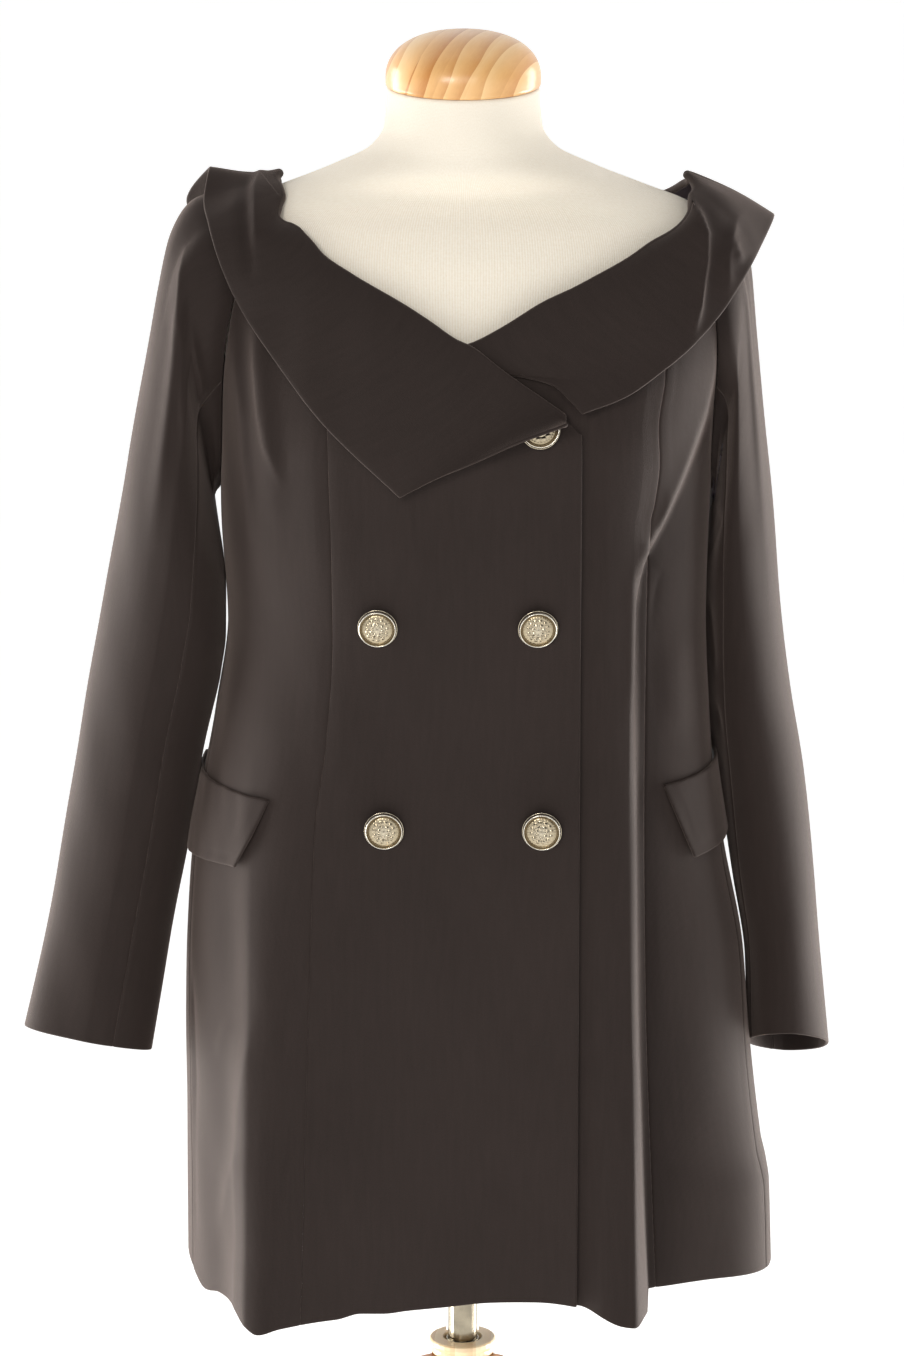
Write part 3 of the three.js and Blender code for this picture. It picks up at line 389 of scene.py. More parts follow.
def panel_grid(name, shares):
    """Points of a body panel, rows up and columns towards the wearer's left, and their heights."""
    kind, side = name.rsplit("_", 1)

    def settled(height, start):
        """The height of a border at each column, where it depends on its own height in turn."""
        z = np.full(len(shares), float(start))
        for _ in range(14):
            z = height(panel_angle(kind, side, shares, z), z)
        return z

    foot = settled(hem_height, BACK_HEM)
    top = settled(lambda angle, z: neck_height(side, angle), 1400)
    rows = [lerp(foot, PANEL_LEVELS[0], s) for s in HEM_SHARES]
    rows += [np.full(len(shares), level) for level in PANEL_LEVELS]
    rows += [lerp(PANEL_LEVELS[-1], top - NECK_GAP, s) for s in NECK_SHARES]
    z = np.array(rows)
    angle = panel_angle(kind, side, np.broadcast_to(shares, z.shape), z)
    points = body_point(angle, z)
    if name == "front_left":
        start, width = LEVEL_AGAIN
        sunk = (CLOTH + UNDERLAP) * (1 - smooth((points[..., 0] - FRONT_EDGE - start) / width))
        points = points - body_normal(angle, z) * sunk[..., None]
    return points, z


# ---- sleeves ----
def armhole_point(side, turn):
    turn = np.mod(turn, 360)
    front = turn <= 180
    from_shoulder = np.where(front, turn, 360 - turn)

    def on_body(angle):
        return SIDES[side] * np.where(front, angle, 180 - angle)

    neck_angle = on_body(lerp(90, NECK_CORNER, np.clip(from_shoulder / ON_NECKLINE, 0, 1)))
    corner = neck_height(side, on_body(NECK_CORNER))
    z = lerp(corner, UNDERARM, np.clip((from_shoulder - ON_NECKLINE) / (180 - ON_NECKLINE), 0, 1))
    edge_angle = on_body(column(SIDE_EDGE, "angle", z))
    high = from_shoulder < ON_NECKLINE
    angle = np.where(high, neck_angle, edge_angle)
    return body_point(angle, np.where(high, neck_height(side, neck_angle), z))


def sleeve_ring(side, row, turn, share):
    a = np.radians(turn)
    along = rounded(np.cos(a), 2 / SLEEVE_SIDE)
    forward = rounded(np.sin(a), 2 / SLEEVE_EDGE)
    x = (row["ox"] + row["ix"]) / 2 + (row["ox"] - row["ix"]) / 2 * along
    y = row["y"] - row["depth"] * forward
    z = (row["oz"] + row["iz"]) / 2 + (row["oz"] - row["iz"]) / 2 * along
    rise = lerp(*SLEEVE_RISE[side], share**2) * (1 - row["fit"])
    return np.stack(np.broadcast_arrays(x, y, z + rise * forward), -1)


def sleeve_point(side, turn, k):
    """The sleeve's surface at a turn round its ring and a fractional row of its table."""
    last = len(SLEEVE[side]["ox"]) - 1
    rows = {"k": np.arange(last + 1.0), **SLEEVE[side]}
    row = {name: column(rows, name, k) for name in SLEEVE[side]}
    first = {name: values[0] for name, values in SLEEVE[side].items()}
    p = sleeve_ring(side, row, turn, k / last)
    p = p + (armhole_point(side, turn) - sleeve_ring(side, first, turn, 0)) * row["fit"][..., None]
    for middle, width, at, length, deep in SLEEVE_CREASES[side]:
        p[..., 1] += deep * (bell(turn - middle, width) * bell(k - at, length))
    return p


def sleeve_grid(side, half):
    """Points of half a sleeve, rows from the cuff to the head."""
    front, back = SLEEVE_SEAMS
    start, end, count = (back - 360, front, 98) if half == "upper" else (front, back, 44)
    if side == "left":
        start, end = end, start
    last = len(SLEEVE[side]["ox"]) - 1
    steps = np.r_[0, 0.01, 0.03, 0.08, np.linspace(0.15, last - 0.1, 168), last - 0.04, last]
    turn, k = np.meshgrid(lerp(start, end, dense(count)), last - steps)
    near_seam = np.clip((turn - back + 360) / (front - back + 360), 0, 1)
    near_seam = np.where(turn > front, (back - turn) / (back - front), near_seam)
    turn = turn + SEAM_DRIFT[side] * near_seam * smooth((k / last - 0.45) / 0.55)
    return sleeve_point(side, turn, k)


# ---- collar and pocket flaps ----
ROLL_TURNS = np.radians(np.linspace(180, 0, 13))
DROP_SHARES = np.linspace(0, 1, 64)[1:]


def collar_rows(i):
    """The collar's table at fractional rows, with a sharp corner at the lapel's tip."""
    index = np.arange(len(COLLAR["turn"]), dtype=float)
    row = {name: column({"i": index, **COLLAR}, name, i) for name in ("turn", "lift")}
    for name in ("x", "y", "z"):
        low = {"i": index[: LAPEL_TIP + 1], name: COLLAR[name][: LAPEL_TIP + 1]}
        high = {"i": index[LAPEL_TIP:], name: COLLAR[name][LAPEL_TIP:]}
        before = column(low, name, np.minimum(i, LAPEL_TIP))
        row[name] = np.where(i <= LAPEL_TIP, before, column(high, name, i))
    return row


def collar_grid(first, last, step):
    """Points of a piece of the collar: rows from the outer edge to the neckline."""
    i = np.linspace(first, last, round((last - first) / step) + 1)
    row = collar_rows(i)
    right = row["turn"] > 180
    angle = np.where(right, row["turn"] - 360, row["turn"])
    z = np.where(right, neck_height("right", angle), neck_height("left", angle))
    edge = body_point(angle, z)
    out = body_normal(angle, z)
    up = unit(body_point(angle, z + 1) - body_point(angle, z - 1))
    centre = edge + out * (ROLL - COLLAR_CLOTH)
    roll = [centre + out * ROLL * math.cos(t) + up * ROLL * math.sin(t) for t in ROLL_TURNS]
    start = roll[-1]
    end = np.stack([row["x"], row["y"], row["z"]], -1)
    drop = np.linalg.norm(end - start, axis=-1, keepdims=True)
    hang = column(HANG, "share", i)[:, None]
    bend = start - up * drop * hang + out * row["lift"][:, None]
    fall = [start * (1 - t) ** 2 + bend * 2 * t * (1 - t) + end * t * t for t in DROP_SHARES]
    share = np.r_[np.zeros(len(roll)), DROP_SHARES][:, None]
    sunk = END_SINK * (1 - smooth(i / 2)) * (1 - share**3)
    over = CROSSING_LIFT * smooth((i - LAPEL_TIP + 2) / 2) * (1 - share)
    rise = column(END_RISE, "rise", share) * bell(i, 2.0)
    grid = np.array(roll + fall) + out * (over - sunk)[..., None] + up * rise[..., None]
    return grid[::-1]


def flap_grid(side):
    """Points of a pocket flap: rows from its foot to its seam."""
    seam, foot = FLAPS[side]
    along = np.r_[0, 0.01, 0.03, np.linspace(0.06, 0.94, 34), 0.97, 0.99, 1]
    if side == "right":
        along = along[::-1]
    drop = np.r_[1, 0.985, 0.96, 0.93, np.linspace(0.88, 0.06, 20), 0.03, 0]
    along, drop = np.meshgrid(along, drop)

    def at(front, back):
        return lerp(lerp(seam[front], seam[back], along), lerp(foot[front], foot[back], along), drop)

    angle = SIDES[side] * at(0, 2)
    z = at(1, 3)
    front, back = FLAP_LIFT[side]
    off = FLAP_CLOTH + FLAP_SEAM + drop * (front * (1 - along) ** 1.5 + back * along**3)
    return body_point(angle, z) + body_normal(angle, z) * off[..., None]


# ---- measures of a grid of points ----
def grid_normals(grid):
    across, up = (unit(np.gradient(grid, axis=axis)) for axis in (1, 0))
    return unit(np.cross(across, up))


def raised(grid, lift):
    return grid + grid_normals(grid) * lift[..., None]


def run(grid, axis):
    """Distance along the cloth from the first row (axis 0) or the first column (axis 1)."""
    steps = np.linalg.norm(np.diff(grid, axis=axis), axis=-1)
    return np.concatenate([np.zeros_like(steps.take([0], axis)), np.cumsum(steps, axis)], axis)


def from_border(grid, borders):
    """Distance along the cloth from the nearest of the named borders."""
    distances = {
        "foot": run(grid, 0),
        "top": run(grid[::-1], 0)[::-1],
        "first": run(grid, 1),
        "last": run(grid[:, ::-1], 1)[:, ::-1],
    }
    return np.min([distances[border] for border in borders], axis=0)


# ---- fine relief ----
# The S-shaped fold of the left front, from under the lapel to the waist, as points in x and z.
S_FOLD = [
    (183, 1353), (180.2, 1329), (174.4, 1298), (168.8, 1276), (160.4, 1254), (150.6, 1230),
    (141.4, 1210), (130, 1187), (123, 1172), (119.5, 1151), (120, 1115), (122, 1060),
]
# Creases: points along each in x and z, then height, half width towards -X and +X, share of fade at
# the ends, and sharpness (2 is round, 1 comes to an edge).
CREASES = {
    "side_front_right": [
        ([(-161.5, 1327), (-158.7, 1306), (-155.5, 1283), (-150.5, 1261)], 1.2, 3, 4, 0.35, 1.6),
        (
            [(-149, 1352), (-146, 1329), (-142, 1280), (-138, 1259), (-131, 1241), (-122, 1220)],
            2.4, 3, 5, 0.3, 1.4,
        ),
        ([(-149, 865), (-160, 777), (-162, 747), (-170, 706), (-181, 665)], 2.6, 6, 8, 0.3, 1.5),
        ([(-162, 760), (-162.5, 690), (-164, 640), (-166, 615)], 1.6, 3, 7, 0.2, 1.3),
        ([(-165, 846), (-173, 827), (-180, 807)], 1.2, 4, 5, 0.4, 1.6),
        ([(-198, 880), (-197, 780), (-199, 730), (-200, 640)], -1.6, 3, 3, 0.2, 1.5),
    ],
    "side_front_left": [
        (S_FOLD, 1.8, 6, 3, 0.12, 1.4),
        ([(144, 1169), (136.7, 1150), (131.8, 1123), (131, 1097), (130, 1060)], -1.8, 4, 3, 0.3, 1.3),
        ([(152, 1130), (153, 1080), (155, 1030)], 1.5, 12, 9, 0.4, 2),
    ],
    "front_left": [(S_FOLD, 1.8, 6, 3, 0.12, 1.4)],
    "sleeve_upper_right": [
        ([(-194, 1403), (-198.7, 1374), (-200.5, 1344), (-200, 1300), (-197, 1235)], 2.8, 3, 6, 0.25, 1.3),
        ([(-191.6, 1346), (-188, 1314), (-183, 1283), (-178, 1261), (-172, 1228)], 4.0, 8, 3, 0.25, 1.4),
    ],
    "sleeve_under_left": [
        ([(190, 1205), (185, 1190), (175, 1152)], -2.0, 3, 3, 0.3, 1.4),
        ([(176, 1143), (180, 1104), (183, 1067)], -1.8, 3, 3, 0.3, 1.4),
        ([(181, 1060), (190, 1030), (199, 993)], -1.8, 3, 3, 0.3, 1.4),
        ([(187.5, 1185), (191, 1134), (196.5, 1090), (202.5, 1015), (208, 940)], 1.8, 4, 4, 0.3, 1.4),
    ],
    "lapel_right": [
        ([(-135, 1443), (-144.3, 1438), (-147, 1429), (-145.7, 1413), (-145, 1388)], 3.4, 4, 9, 0.3, 1.5),
        ([(-151, 1444), (-154, 1431), (-154, 1413), (-151.5, 1392), (-148, 1367)], -2.6, 5, 4, 0.35, 2),
    ],
    "lapel_left": [
        (
            [(158, 1433), (164, 1418), (170, 1401), (169.4, 1383), (167, 1370), (164, 1351), (160, 1330)],
            5.5, 9, 2.6, 0.25, 1.4,
        ),
        (
            [(192, 1415), (192.8, 1410), (188, 1399), (185, 1388), (185, 1375), (187, 1358)],
            2.8, 4, 5, 0.3, 1.5,
        ),
        ([(188, 1399), (191, 1391), (197, 1380)], 2.6, 4, 5, 0.4, 1.5),
    ],
}


def along_line(p, line):
    """Signed distance in x and z from points to a line, positive towards +X, and the share along it."""
    line = np.array(line, float)
    q = p[..., [0, 2]]
    lengths = np.linalg.norm(np.diff(line, axis=0), axis=1)
    before = np.r_[0, np.cumsum(lengths)]
    signed = np.full(q.shape[:-1], np.inf)
    share = np.zeros(q.shape[:-1])
    for i, length in enumerate(lengths):
        d = (line[i + 1] - line[i]) / length
        w = q - line[i]
        t = np.clip(w @ d, 0, length)
        off = w - t[..., None] * d
        distance = np.linalg.norm(off, axis=-1)
        near = distance < np.abs(signed)
        signed = np.where(near, np.where(off[..., 0] < 0, -distance, distance), signed)
        share = np.where(near, (before[i] + t) / before[-1], share)
    return signed, share


def creased(grid, name):
    """How far the named piece's creases lift each point. They lie on the part that faces forward."""
    lift = np.zeros(grid.shape[:-1])
    facing = smooth((0.35 - grid_normals(grid)[..., 1]) / 0.5)
    for line, height, towards_right, towards_left, fade, sharp in CREASES.get(name, []):
        distance, share = along_line(grid, line)
        reach = np.where(distance < 0, towards_right, towards_left)
        ends = smooth(share / fade) * smooth((1 - share) / fade)
        lift += height * np.exp(-((np.abs(distance) / reach) ** sharp)) * ends * facing
    return lift


WAVES = np.random.default_rng(11).uniform(-1, 1, (9, 4))


def ripple(p, size, length):
    """Soft unevenness of the cloth: a few long waves across each other."""
    total = np.zeros(p.shape[:-1])
    for wx, wy, wz, phase in WAVES:
        k = 2 * np.pi / (length * (1 + 0.6 * phase))
        total += np.sin((p[..., 0] * wx + p[..., 1] * wy + p[..., 2] * wz * 0.45) * k * 1.6 + 9 * phase)
    return size * total / 3


# ---- meshes ----
def add_mesh(name, points, faces, uv, materials, face_material=0):
    """A mesh from points and UVs in millimetres and arrays of faces, each of one count of corners."""
    mesh = bpy.data.meshes.new(name)
    points = np.asarray(points, float) * MM + AXIS
    corners = np.concatenate([np.asarray(f).ravel() for f in faces]).astype(np.int32)
    sizes = np.concatenate([np.full(len(f), np.shape(f)[1]) for f in faces])
    mesh.vertices.add(len(points))
    mesh.vertices.foreach_set("co", points.ravel())
    mesh.loops.add(len(corners))
    mesh.loops.foreach_set("vertex_index", corners)
    mesh.polygons.add(len(sizes))
    starts = np.r_[0, np.cumsum(sizes)[:-1]].astype(np.int32)
    mesh.polygons.foreach_set("loop_start", starts)
    mesh.polygons.foreach_set("use_smooth", np.ones(len(sizes), bool))
    for material in materials:
        mesh.materials.append(material)
    mesh.polygons.foreach_set("material_index", np.full(len(sizes), face_material, np.int32))
    layer = mesh.uv_layers.new(name="UVMap")
    layer.data.foreach_set("uv", (np.asarray(uv, float) * MM)[corners].ravel())
    mesh.update()
    mesh.validate()
    obj = bpy.data.objects.new(name, mesh)
    scene.collection.objects.link(obj)
    return obj


def grid_quads(index):
    return np.stack([index[:-1, :-1], index[:-1, 1:], index[1:, 1:], index[1:, :-1]], -1).reshape(-1, 4)


EDGE_TURNS = [math.pi * k / 4 for k in (1, 2, 3)]  # across the rounded edge of the cloth


def cloth_piece(name, grid, thickness, backing, free, facing):
    """A sheet of cloth as one closed body, with rounded edges on its free borders.

    Its inner side has the backing's material, further than the facing's width from the free borders.
    """
    rows, cols = grid.shape[:2]
    count = rows * cols
    normals = grid_normals(grid)
    outer = grid.reshape(-1, 3)
    inner = (grid - normals * thickness).reshape(-1, 3)
    u = run(grid, 1)
    u = u - u[:, cols // 2 : cols // 2 + 1]
    uv = np.stack([u, run(grid, 0)], -1).reshape(-1, 2)
    index = np.arange(count).reshape(rows, cols)
    ids = np.r_[index[0], index[1:, -1], index[-1, -2::-1], index[-2:0:-1, 0]]
    row, col = np.divmod(ids, cols)
    inward = {
        "foot": (row == 0, 2 * cols),
        "top": (row == rows - 1, -2 * cols),
        "first": (col == 0, 2),
        "last": (col == cols - 1, -2),
    }
    # the way out of the cloth at each border point, summed over the free borders it lies on
    out = np.zeros((len(ids), 3))
    for border in free:
        on, step = inward[border]
        out[on] += unit(outer[ids[on]] - outer[ids[on] + step])
    n = normals.reshape(-1, 3)[ids]
    out = out - n * np.sum(out * n, -1, keepdims=True)
    out = unit(out) * (np.linalg.norm(out, axis=-1, keepdims=True) > 1e-6)
    middle = (outer[ids] + inner[ids]) / 2
    points = [outer, inner]
    rings = [ids]
    for k, t in enumerate(EDGE_TURNS):
        points.append(middle + n * (math.cos(t) * thickness / 2) + out * (math.sin(t) * thickness / 2))
        rings.append(2 * count + k * len(ids) + np.arange(len(ids)))
    rings.append(ids + count)
    quads = [grid_quads(index), grid_quads(index)[:, ::-1] + count]
    for a, b in zip(rings[:-1], rings[1:]):
        quads.append(np.stack([a, b, np.roll(b, -1), np.roll(a, -1)], -1))
    quads = np.vstack(quads)
    cells = (rows - 1) * (cols - 1)
    face_material = np.zeros(len(quads), int)
    face_material[cells : 2 * cells] = (from_border(grid, free) > facing)[:-1, :-1].ravel()
    uvs = np.vstack([uv, uv] + [uv[ids]] * len(EDGE_TURNS))
    piece = add_mesh(name + "_cloth", np.vstack(points), [quads], uvs, [cloth, backing], face_material)
    keep(name, piece)


def turns(around):
    return np.arange(around) / around * 2 * np.pi


def lidded(rings, low, high):
    """Points and faces of a body through rings of points, closed by a point in the middle of each end."""
    count, around = rings.shape[:2]
    index = np.arange(count * around).reshape(count, around)
    index = np.hstack([index, index[:, :1]])
    tip = np.full(around, count * around)
    fans = np.vstack([
        np.stack([tip, index[0, 1:], index[0, :-1]], -1),
        np.stack([tip + 1, index[-1, :-1], index[-1, 1:]], -1),
    ])
    return np.vstack([rings.reshape(-1, 3), [low, high]]), [grid_quads(index), fans]


# ---- materials ----
def linear(r, g, b):
    """A shader colour from its 0 to 255 display values."""
    c = np.array([r, g, b]) / 255
    return (*np.where(c <= 0.04045, c / 12.92, ((c + 0.055) / 1.055) ** 2.4), 1.0)


class Nodes:
    """A short way to write the node tree of a material or a world, up to its named last shader."""

    def __init__(self, owner, shader):
        owner.use_nodes = True
        self.owner = owner
        self.tree = owner.node_tree
        self.shader = self.tree.nodes[shader]

    def add(self, kind, inputs=None, **settings):
        node = self.tree.nodes.new("ShaderNode" + kind)
        for key, value in settings.items():
            setattr(node, key, value)
        for key, value in (inputs or {}).items():
            self.put(node, key, value)
        return node

    def put(self, node, key, value):
        if isinstance(value, bpy.types.NodeSocket):
            self.tree.links.new(value, node.inputs[key])
        else:
            node.inputs[key].default_value = value

    def set(self, **inputs):
        for key, value in inputs.items():
            self.put(self.shader, key.replace("_", " "), value)
        return self.owner

    def math(self, operation, a, b=0.0):
        return self.add("Math", {0: a, 1: b}, operation=operation).outputs[0]

    def scaled(self, value, by, plus):
        return self.math("ADD", self.math("MULTIPLY", value, by), plus)

    def total(self, *parts):
        """The sum of values, each times its own weight."""
        terms = [self.math("MULTIPLY", value, weight) for value, weight in parts]
        result = terms[0]
        for term in terms[1:]:
            result = self.math("ADD", result, term)
        return result

    def ramp(self, value, *stops):
        """A colour for each value between stops, which are places and 0 to 255 display colours."""
        node = self.add("ValToRGB", {0: value})
        points = node.color_ramp.elements
        while len(points) < len(stops):
            points.new(0.5)
        for point, (at, colour) in zip(points, stops):
            point.position = at
            point.color = linear(*colour)
        return node.outputs[0]

    def coords(self, kind, scale=(1, 1, 1), rotation=(0, 0, 0)):
        base = self.add("TexCoord").outputs[kind]
        return self.add("Mapping", {0: base, 2: rotation, 3: scale}).outputs[0]

    def noise(self, vector, scale, detail, roughness=0.5):
        """Fractal noise over named coordinates or a given vector."""
        vector = self.coords(vector) if isinstance(vector, str) else vector
        inputs = {"Vector": vector, "Scale": scale, "Detail": detail, "Roughness": roughness}
        return self.add("TexNoise", inputs).outputs[0]

    def stripes(self, vector, pitch, direction, distortion=0.0):
        """Even stripes of a given pitch in metres along X or Y."""
        inputs = {"Vector": vector, "Scale": 2 * math.pi / (20 * pitch), "Distortion": distortion}
        return self.add("TexWave", inputs, bands_direction=direction).outputs[1]

    def bump(self, height, distance, strength):
        return self.add("Bump", {"Height": height, "Distance": distance, "Strength": strength}).outputs[0]


def new_material(name):
    return Nodes(bpy.data.materials.new(name), "Principled BSDF")


def suiting():
    """Fine plain weave with a soft nap: threads over and under, uneven dye and a dull, hazy gloss."""
    n = new_material("cloth_weave")
    uv = n.coords("UV")
    pitch = 0.0009
    over = n.math("MULTIPLY", n.stripes(uv, pitch, "X", 0.6), n.stripes(uv, pitch * 0.93, "Y", 0.6))
    patch = n.noise("Object", 9.0, 3.0)
    nap = n.noise(uv, 900.0, 4.0, 0.7)
    slub = n.noise(n.coords("UV", (260, 30, 1)), 1.0, 2.0)
    tone = n.total((nap, 0.55), (patch, 0.25), (slub, 0.2), (over, 0.12))
    return n.set(
        Base_Color=n.ramp(tone, (0.32, (34.5, 27, 24)), (0.72, (49, 40, 37))),
        Roughness=n.scaled(nap, 0.2, 0.62),
        Normal=n.bump(n.total((over, 0.6), (nap, 0.7)), 0.00035, 0.5),
        Sheen_Weight=0.28,
        Sheen_Roughness=0.42,
        Sheen_Tint=linear(228, 206, 196),
        Specular_IOR_Level=0.15,
    )


def satin():
    """Lining: a smooth, slightly shiny mauve-grey twill."""
    n = new_material("lining_satin")
    twill = n.stripes(n.coords("UV", rotation=(0, 0, math.radians(55))), 0.0009, "X")
    patch = n.noise("Object", 14.0, 2.0)
    return n.set(
        Base_Color=n.ramp(patch, (0.3, (58, 50, 56)), (0.75, (84, 75, 82))),
        Roughness=n.scaled(patch, 0.15, 0.3),
        Normal=n.bump(twill, 0.0002, 0.3),
    )


def jersey():
    """Cream knitted cover: fine upright ribs with small flecks."""
    n = new_material("jersey_rib")
    uv = n.coords("UV")
    ribs = n.stripes(uv, 0.0014, "X", 0.4)
    loops = n.stripes(uv, 0.0011, "Y", 0.3)
    fleck = n.noise(uv, 620.0, 3.0, 0.65)
    patch = n.noise("Object", 7.0, 2.0)
    tone = n.total((fleck, 0.5), (ribs, 0.28), (patch, 0.2))
    return n.set(
        Base_Color=n.ramp(tone, (0.25, (238, 226, 206)), (0.7, (251, 245, 233))),
        Roughness=n.scaled(fleck, 0.1, 0.82),
        Normal=n.bump(n.total((ribs, 0.8), (loops, 0.3), (fleck, 0.5)), 0.0004, 0.45),
        Sheen_Weight=0.25,
        Sheen_Roughness=0.5,
        Specular_IOR_Level=0.2,
    )


def pine(name, turn, stave, across, tones):
    """Varnished laminated pine: staves side by side, each with its own tone and growth rings."""
    n = new_material(name)
    local = n.coords("Object", rotation=[math.radians(angle) for angle in turn])
    lane = n.math("FLOOR", n.math("DIVIDE", n.add("SeparateXYZ", {0: local}).outputs[0], stave))
    lane_tone = n.add("TexWhiteNoise", {"W": lane}, noise_dimensions="1D").outputs[0]
    shift = n.add("CombineXYZ", {0: n.math("MULTIPLY", lane_tone, 3.1), 1: n.math("MULTIPLY", lane, 0.37)})
    place = n.add("VectorMath", {0: local, 1: shift.outputs[0]}, operation="ADD").outputs[0]
    stretched = n.add("Mapping", {0: place, 3: (1, 0.12, across)}).outputs[0]
    growth = {"Scale": 26.0, "Distortion": 5.0, "Detail": 2.0, "Detail Scale": 1.2}
    rings = n.add("TexWave", {"Vector": stretched, **growth}, wave_profile="SAW").outputs[1]
    pores = n.noise(stretched, 700.0, 3.0)
    tone = n.total((rings, 0.5), (lane_tone, 0.42), (pores, 0.14))
    return n.set(
        Base_Color=n.ramp(tone, *zip((0.1, 0.5, 0.95), tones)),
        Roughness=n.scaled(pores, 0.12, 0.26),
        Normal=n.bump(pores, 0.0002, 0.12),
        Coat_Weight=0.35,
        Coat_Roughness=0.15,
    )


def chrome_plate():
    """Plated steel with a mottled tone and fine upright scratches."""
    n = new_material("steel_chrome")
    spots = n.noise("Object", 60.0, 4.0)
    lines = n.noise(n.coords("Object", (900, 900, 12)), 1.0, 3.0)
    return n.set(
        Base_Color=n.ramp(spots, (0.3, (130, 123, 108)), (0.7, (168, 158, 138))),
        Metallic=1.0,
        Roughness=n.scaled(lines, 0.16, 0.14),
        Normal=n.bump(spots, 0.0001, 0.25),
    )


# Colours of a button from its centre, 0, to its rim, 1: painted shade in the channel at 0.79 and a painted
# highlight on the rim's bead at 0.89.
BUTTON_TONES_AND_PAINTED_LIGHT = [
    (0.0, (190, 181, 162)), (0.3, (182, 172, 152)), (0.7, (172, 160, 136)), (0.79, (120, 106, 82)),
    (0.84, (194, 182, 158)), (0.89, (255, 252, 243)), (1.0, (208, 198, 176)),
]


def button_metal():
    """Pale gilt with random worn spots, a painted highlight ring on the rim and painted shade in the
    channel.
    """
    n = new_material("button_metal")
    radius = n.add("VectorMath", {0: n.coords("UV")}, operation="LENGTH").outputs["Value"]
    spots = n.noise("Object", 2600.0, 4.0)
    # the ring's colours hold a painted highlight on the rim and painted shade in the channel
    ring = n.ramp(n.math("DIVIDE", radius, BUTTON_RADIUS * MM), *BUTTON_TONES_AND_PAINTED_LIGHT)
    stain = n.ramp(spots, (0.4, (160, 146, 122)), (0.55, (255, 255, 255)))
    colour = n.add("Mix", {0: 0.5, 6: ring, 7: stain}, data_type="RGBA", blend_type="MULTIPLY")
    lines = n.noise(n.coords("Object", (2200, 2200, 2200)), 5.0, 3.0)
    return n.set(
        Base_Color=colour.outputs[2],
        Metallic=1.0,
        Roughness=n.scaled(lines, 0.14, 0.1),
        Normal=n.bump(spots, 0.0001, 0.3),
    )


PALE = ((246, 208, 152), (232, 182, 120), (196, 132, 70))
DEEP = ((206, 152, 96), (186, 130, 78), (150, 96, 52))
LIGHT = ((252, 232, 196), (246, 218, 176), (226, 188, 140))
cloth = suiting()
lining = satin()
cover = jersey()
cap_pine = pine("pine_cap", (0, -24, 12), 0.021, 0.35, PALE)
leg_pine = pine("pine_legs", (90, 0, 0), 0.033, 0.1, DEEP)
hub_pine = pine("pine_hub", (90, 0, 0), 0.033, 0.35, LIGHT)
chrome = chrome_plate()
plated = button_metal()


# ---- the blazer ----
SEAM_DIP = 0.45
SEAM_PUCKER = 0.15
HEM_FACING = 45.0
CUFF_FACING = 38.0
FLAP_FACING = 4.0
FLAP_STITCH = 6.0  # from the flap's edge


def keep(node, piece):
    """The piece stands for a CAD node."""
    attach(piece, "root")
    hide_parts(node)
    return piece


def finished(name, grid, seams):
    """The fine surface of a piece: its creases, a little unevenness, and a dip along its seams."""
    distance = from_border(grid, seams)
    calm = smooth(distance / 12)
    lift = creased(grid, name) * calm + ripple(grid, 0.55, 150) * calm
    return raised(grid, lift - (SEAM_DIP * bell(distance, 1.0) + SEAM_PUCKER * bell(distance, 5.0)))


for name, (columns, seams, free) in PANELS.items():
    grid, z = panel_grid(name, dense(columns))
    grid = finished(name, grid, seams)
    if name == "front_right":
        towards_edge = smooth((grid[..., 0] - 50) / (FRONT_EDGE - 50))
        grid = raised(grid, 2.2 * towards_edge**1.5 * smooth((1300 - z) / 60))
    cloth_piece(name, grid, CLOTH, lining, free, HEM_FACING)

for side in SIDES:
    for half in ("upper", "under"):
        name = f"sleeve_{half}_{side}"
        grid = finished(name, sleeve_grid(side, half), ["first", "last", "top"])
        cloth_piece(name, grid, CLOTH, lining, ["foot"], CUFF_FACING)

for name, (first, last, step, sewn) in COLLAR_CUTS.items():
    grid = collar_grid(first, last, step)
    lift = creased(grid, name) - 0.5 * bell(from_border(grid, sewn), 1.0)
    depth = np.linspace(1, 0, grid.shape[0])[:, None]
    grid = raised(grid, lift + ripple(grid, 0.7, 130) * smooth(depth * 3))
    free = ["foot", "top"] + [end for end in ("first", "last") if end not in sewn]
    cloth_piece(name, grid, COLLAR_CLOTH, cloth, free, 0.0)

for side in SIDES:
    name = f"pocket_flap_{side}"
    grid = flap_grid(side)
    edge = from_border(grid, ["first", "last", "foot"])
    grid = raised(grid, ripple(grid, 0.3, 60) - 0.35 * bell(edge - FLAP_STITCH, 1.2))
    cloth_piece(name, grid, FLAP_CLOTH, lining, ["first", "last", "foot", "top"], FLAP_FACING)


# ---- buttons ----
# x and z of each button, its tilt forward and sideways, and its turn, in degrees.
BUTTONS = {
    "button_top_left": (53, 1275.5, (3, -5), 20),
    "button_waist_right": (-60, 1135, (-9, 5), 65),
    "button_waist_left": (52, 1135, (-11, -3), -12),
    "button_hip_right": (-56, 990, (-10, 4), 140),
    "button_hip_left": (55.5, 989.5, (-8, -7), 38),
}


def button_height(r, a):
    """Height of the button's face: a rolled rim with a rope bead, a channel, and a dome with a rosette."""
    h = 2.6 + 2.5 * bell(r - 12.7, 1.0) - 1.5 * smooth((r - 13.2) / 0.8)
    h = h + 3.0 * np.sqrt(np.clip(1 - (r / 12.2) ** 2, 0, 1)) * smooth((11.5 - r) / 0.8)
    h += 0.4 * bell(r - 9.7, 0.5) * (0.5 + 0.5 * np.cos(30 * a))
    h += 0.9 * bell(r - 7.1, 1.2) * (0.5 + 0.5 * np.cos(12 * a)) ** 0.7
    h -= 0.35 * bell(r - 5.6, 0.35)
    h += 0.9 * bell(r - 3.7, 1.2) * (0.5 + 0.5 * np.cos(7 * a + 0.6)) ** 0.8
    h += 0.6 * bell(r, 1.3) + 0.15 * bell(r - 7.3, 0.5) * np.cos(48 * a)
    return h


